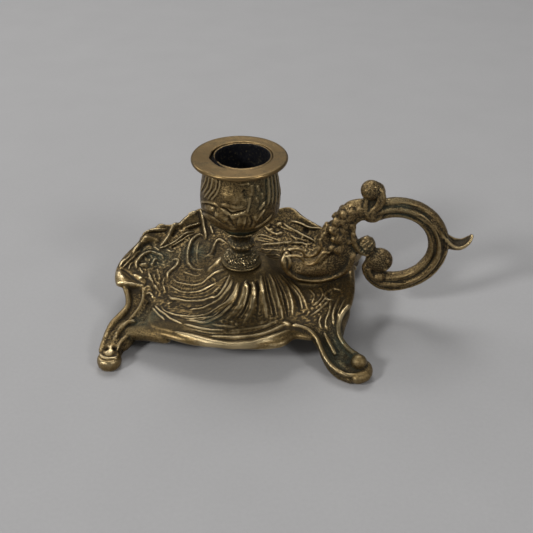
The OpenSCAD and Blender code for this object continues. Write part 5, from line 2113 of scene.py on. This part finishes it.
@dataclass(frozen=True)
class Softbox:
    """Square lamp that points at the object."""

    name: str
    place: tuple[float, float, float]
    size: float
    power: float
    colour: Colour = (1.0, 1.0, 1.0)


@dataclass
class Studio:
    """Pale floor, soft lamps and the camera."""

    floor_colour: Colour = (0.365, 0.36, 0.36)
    floor_half: float = 6
    eye: tuple[float, float, float] = (0.0332, -0.2743, 0.2087)
    aim: tuple[float, float, float] = (0.02, 0, 0.02)
    pitch: float = 34.31
    yaw: float = 4.65
    lens: float = 51.33
    sensor: float = 36
    sky: float = 0.22
    lamps: tuple[Softbox, ...] = (
        Softbox("key", (-0.85, -0.75, 0.75), 0.22, 9.5),
        Softbox("side", (0.85, -0.60, 0.78), 0.26, 3.6),
        Softbox("ceiling", (-0.1, 0.65, 1.15), 0.60, 7.0),
        Softbox("window", (-0.9, 0.5, 0.7), 0.5, 2.4),
    )

    def build(self) -> None:
        """Builds the floor, the lamps, the sky and the camera."""
        self.floor()
        for lamp in self.lamps:
            self.lamp(lamp)
        world = bpy.data.worlds.new("sky")
        bpy.context.scene.world = world
        world.use_nodes = True
        back = world.node_tree.nodes["Background"]
        back.inputs["Color"].default_value = (1, 1, 1, 1)
        back.inputs["Strength"].default_value = self.sky
        cam = bpy.data.cameras.new("camera")
        cam.lens, cam.sensor_width, cam.sensor_fit = self.lens, self.sensor, "HORIZONTAL"
        cam.clip_start = 0.01
        eye = bpy.data.objects.new("camera", cam)
        eye.location = self.eye
        eye.rotation_euler = (math.radians(90 - self.pitch), 0, math.radians(self.yaw))
        bpy.context.scene.collection.objects.link(eye)
        bpy.context.scene.camera = eye
        bpy.context.scene.view_settings.view_transform = "Standard"

    def floor(self) -> None:
        """Plain pale floor that the object stands on."""
        w = self.floor_half
        mesh = bpy.data.meshes.new("floor")
        mesh.from_pydata([(-w, -w, 0), (w, -w, 0), (w, w, 0), (-w, w, 0)], [], [(0, 1, 2, 3)])
        ob = bpy.data.objects.new("floor", mesh)
        bpy.context.scene.collection.objects.link(ob)
        n = Nodes("floor_cloth")
        tone = n.sum((n.grain(40, 3), 0.5), (n.grain(1.5, 2), 0.5))
        pale = tuple(1.03 * c for c in self.floor_colour)
        dim = tuple(0.97 * c for c in self.floor_colour)
        n.dress(colour=n.ramp(tone, (0.3, dim), (0.7, pale)), rough=0.95, specular=0.1)
        mesh.materials.append(n.material)

    def lamp(self, spec: Softbox) -> None:
        """Hangs one lamp."""
        data = bpy.data.lights.new(spec.name, "AREA")
        data.shape, data.size = "SQUARE", spec.size
        data.energy, data.color = spec.power, spec.colour
        ob = bpy.data.objects.new(spec.name, data)
        ob.location = spec.place
        aim = Vector(self.aim) - Vector(spec.place)
        ob.rotation_euler = aim.to_track_quat("-Z", "Y").to_euler()
        bpy.context.scene.collection.objects.link(ob)


def main() -> None:
    """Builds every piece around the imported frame."""
    logging.basicConfig(level=logging.INFO, format="%(name)s: %(message)s")
    Studio().build()
    for part in (DripPan(), Stem(), CandleCup(), DripPlate(), Handle(), Fasteners()):
        for piece in part.build():
            LOG.info("%s: %s, %d points", type(part).__name__, piece.name, len(piece.data.vertices))


if __name__ == "__main__":
    main()
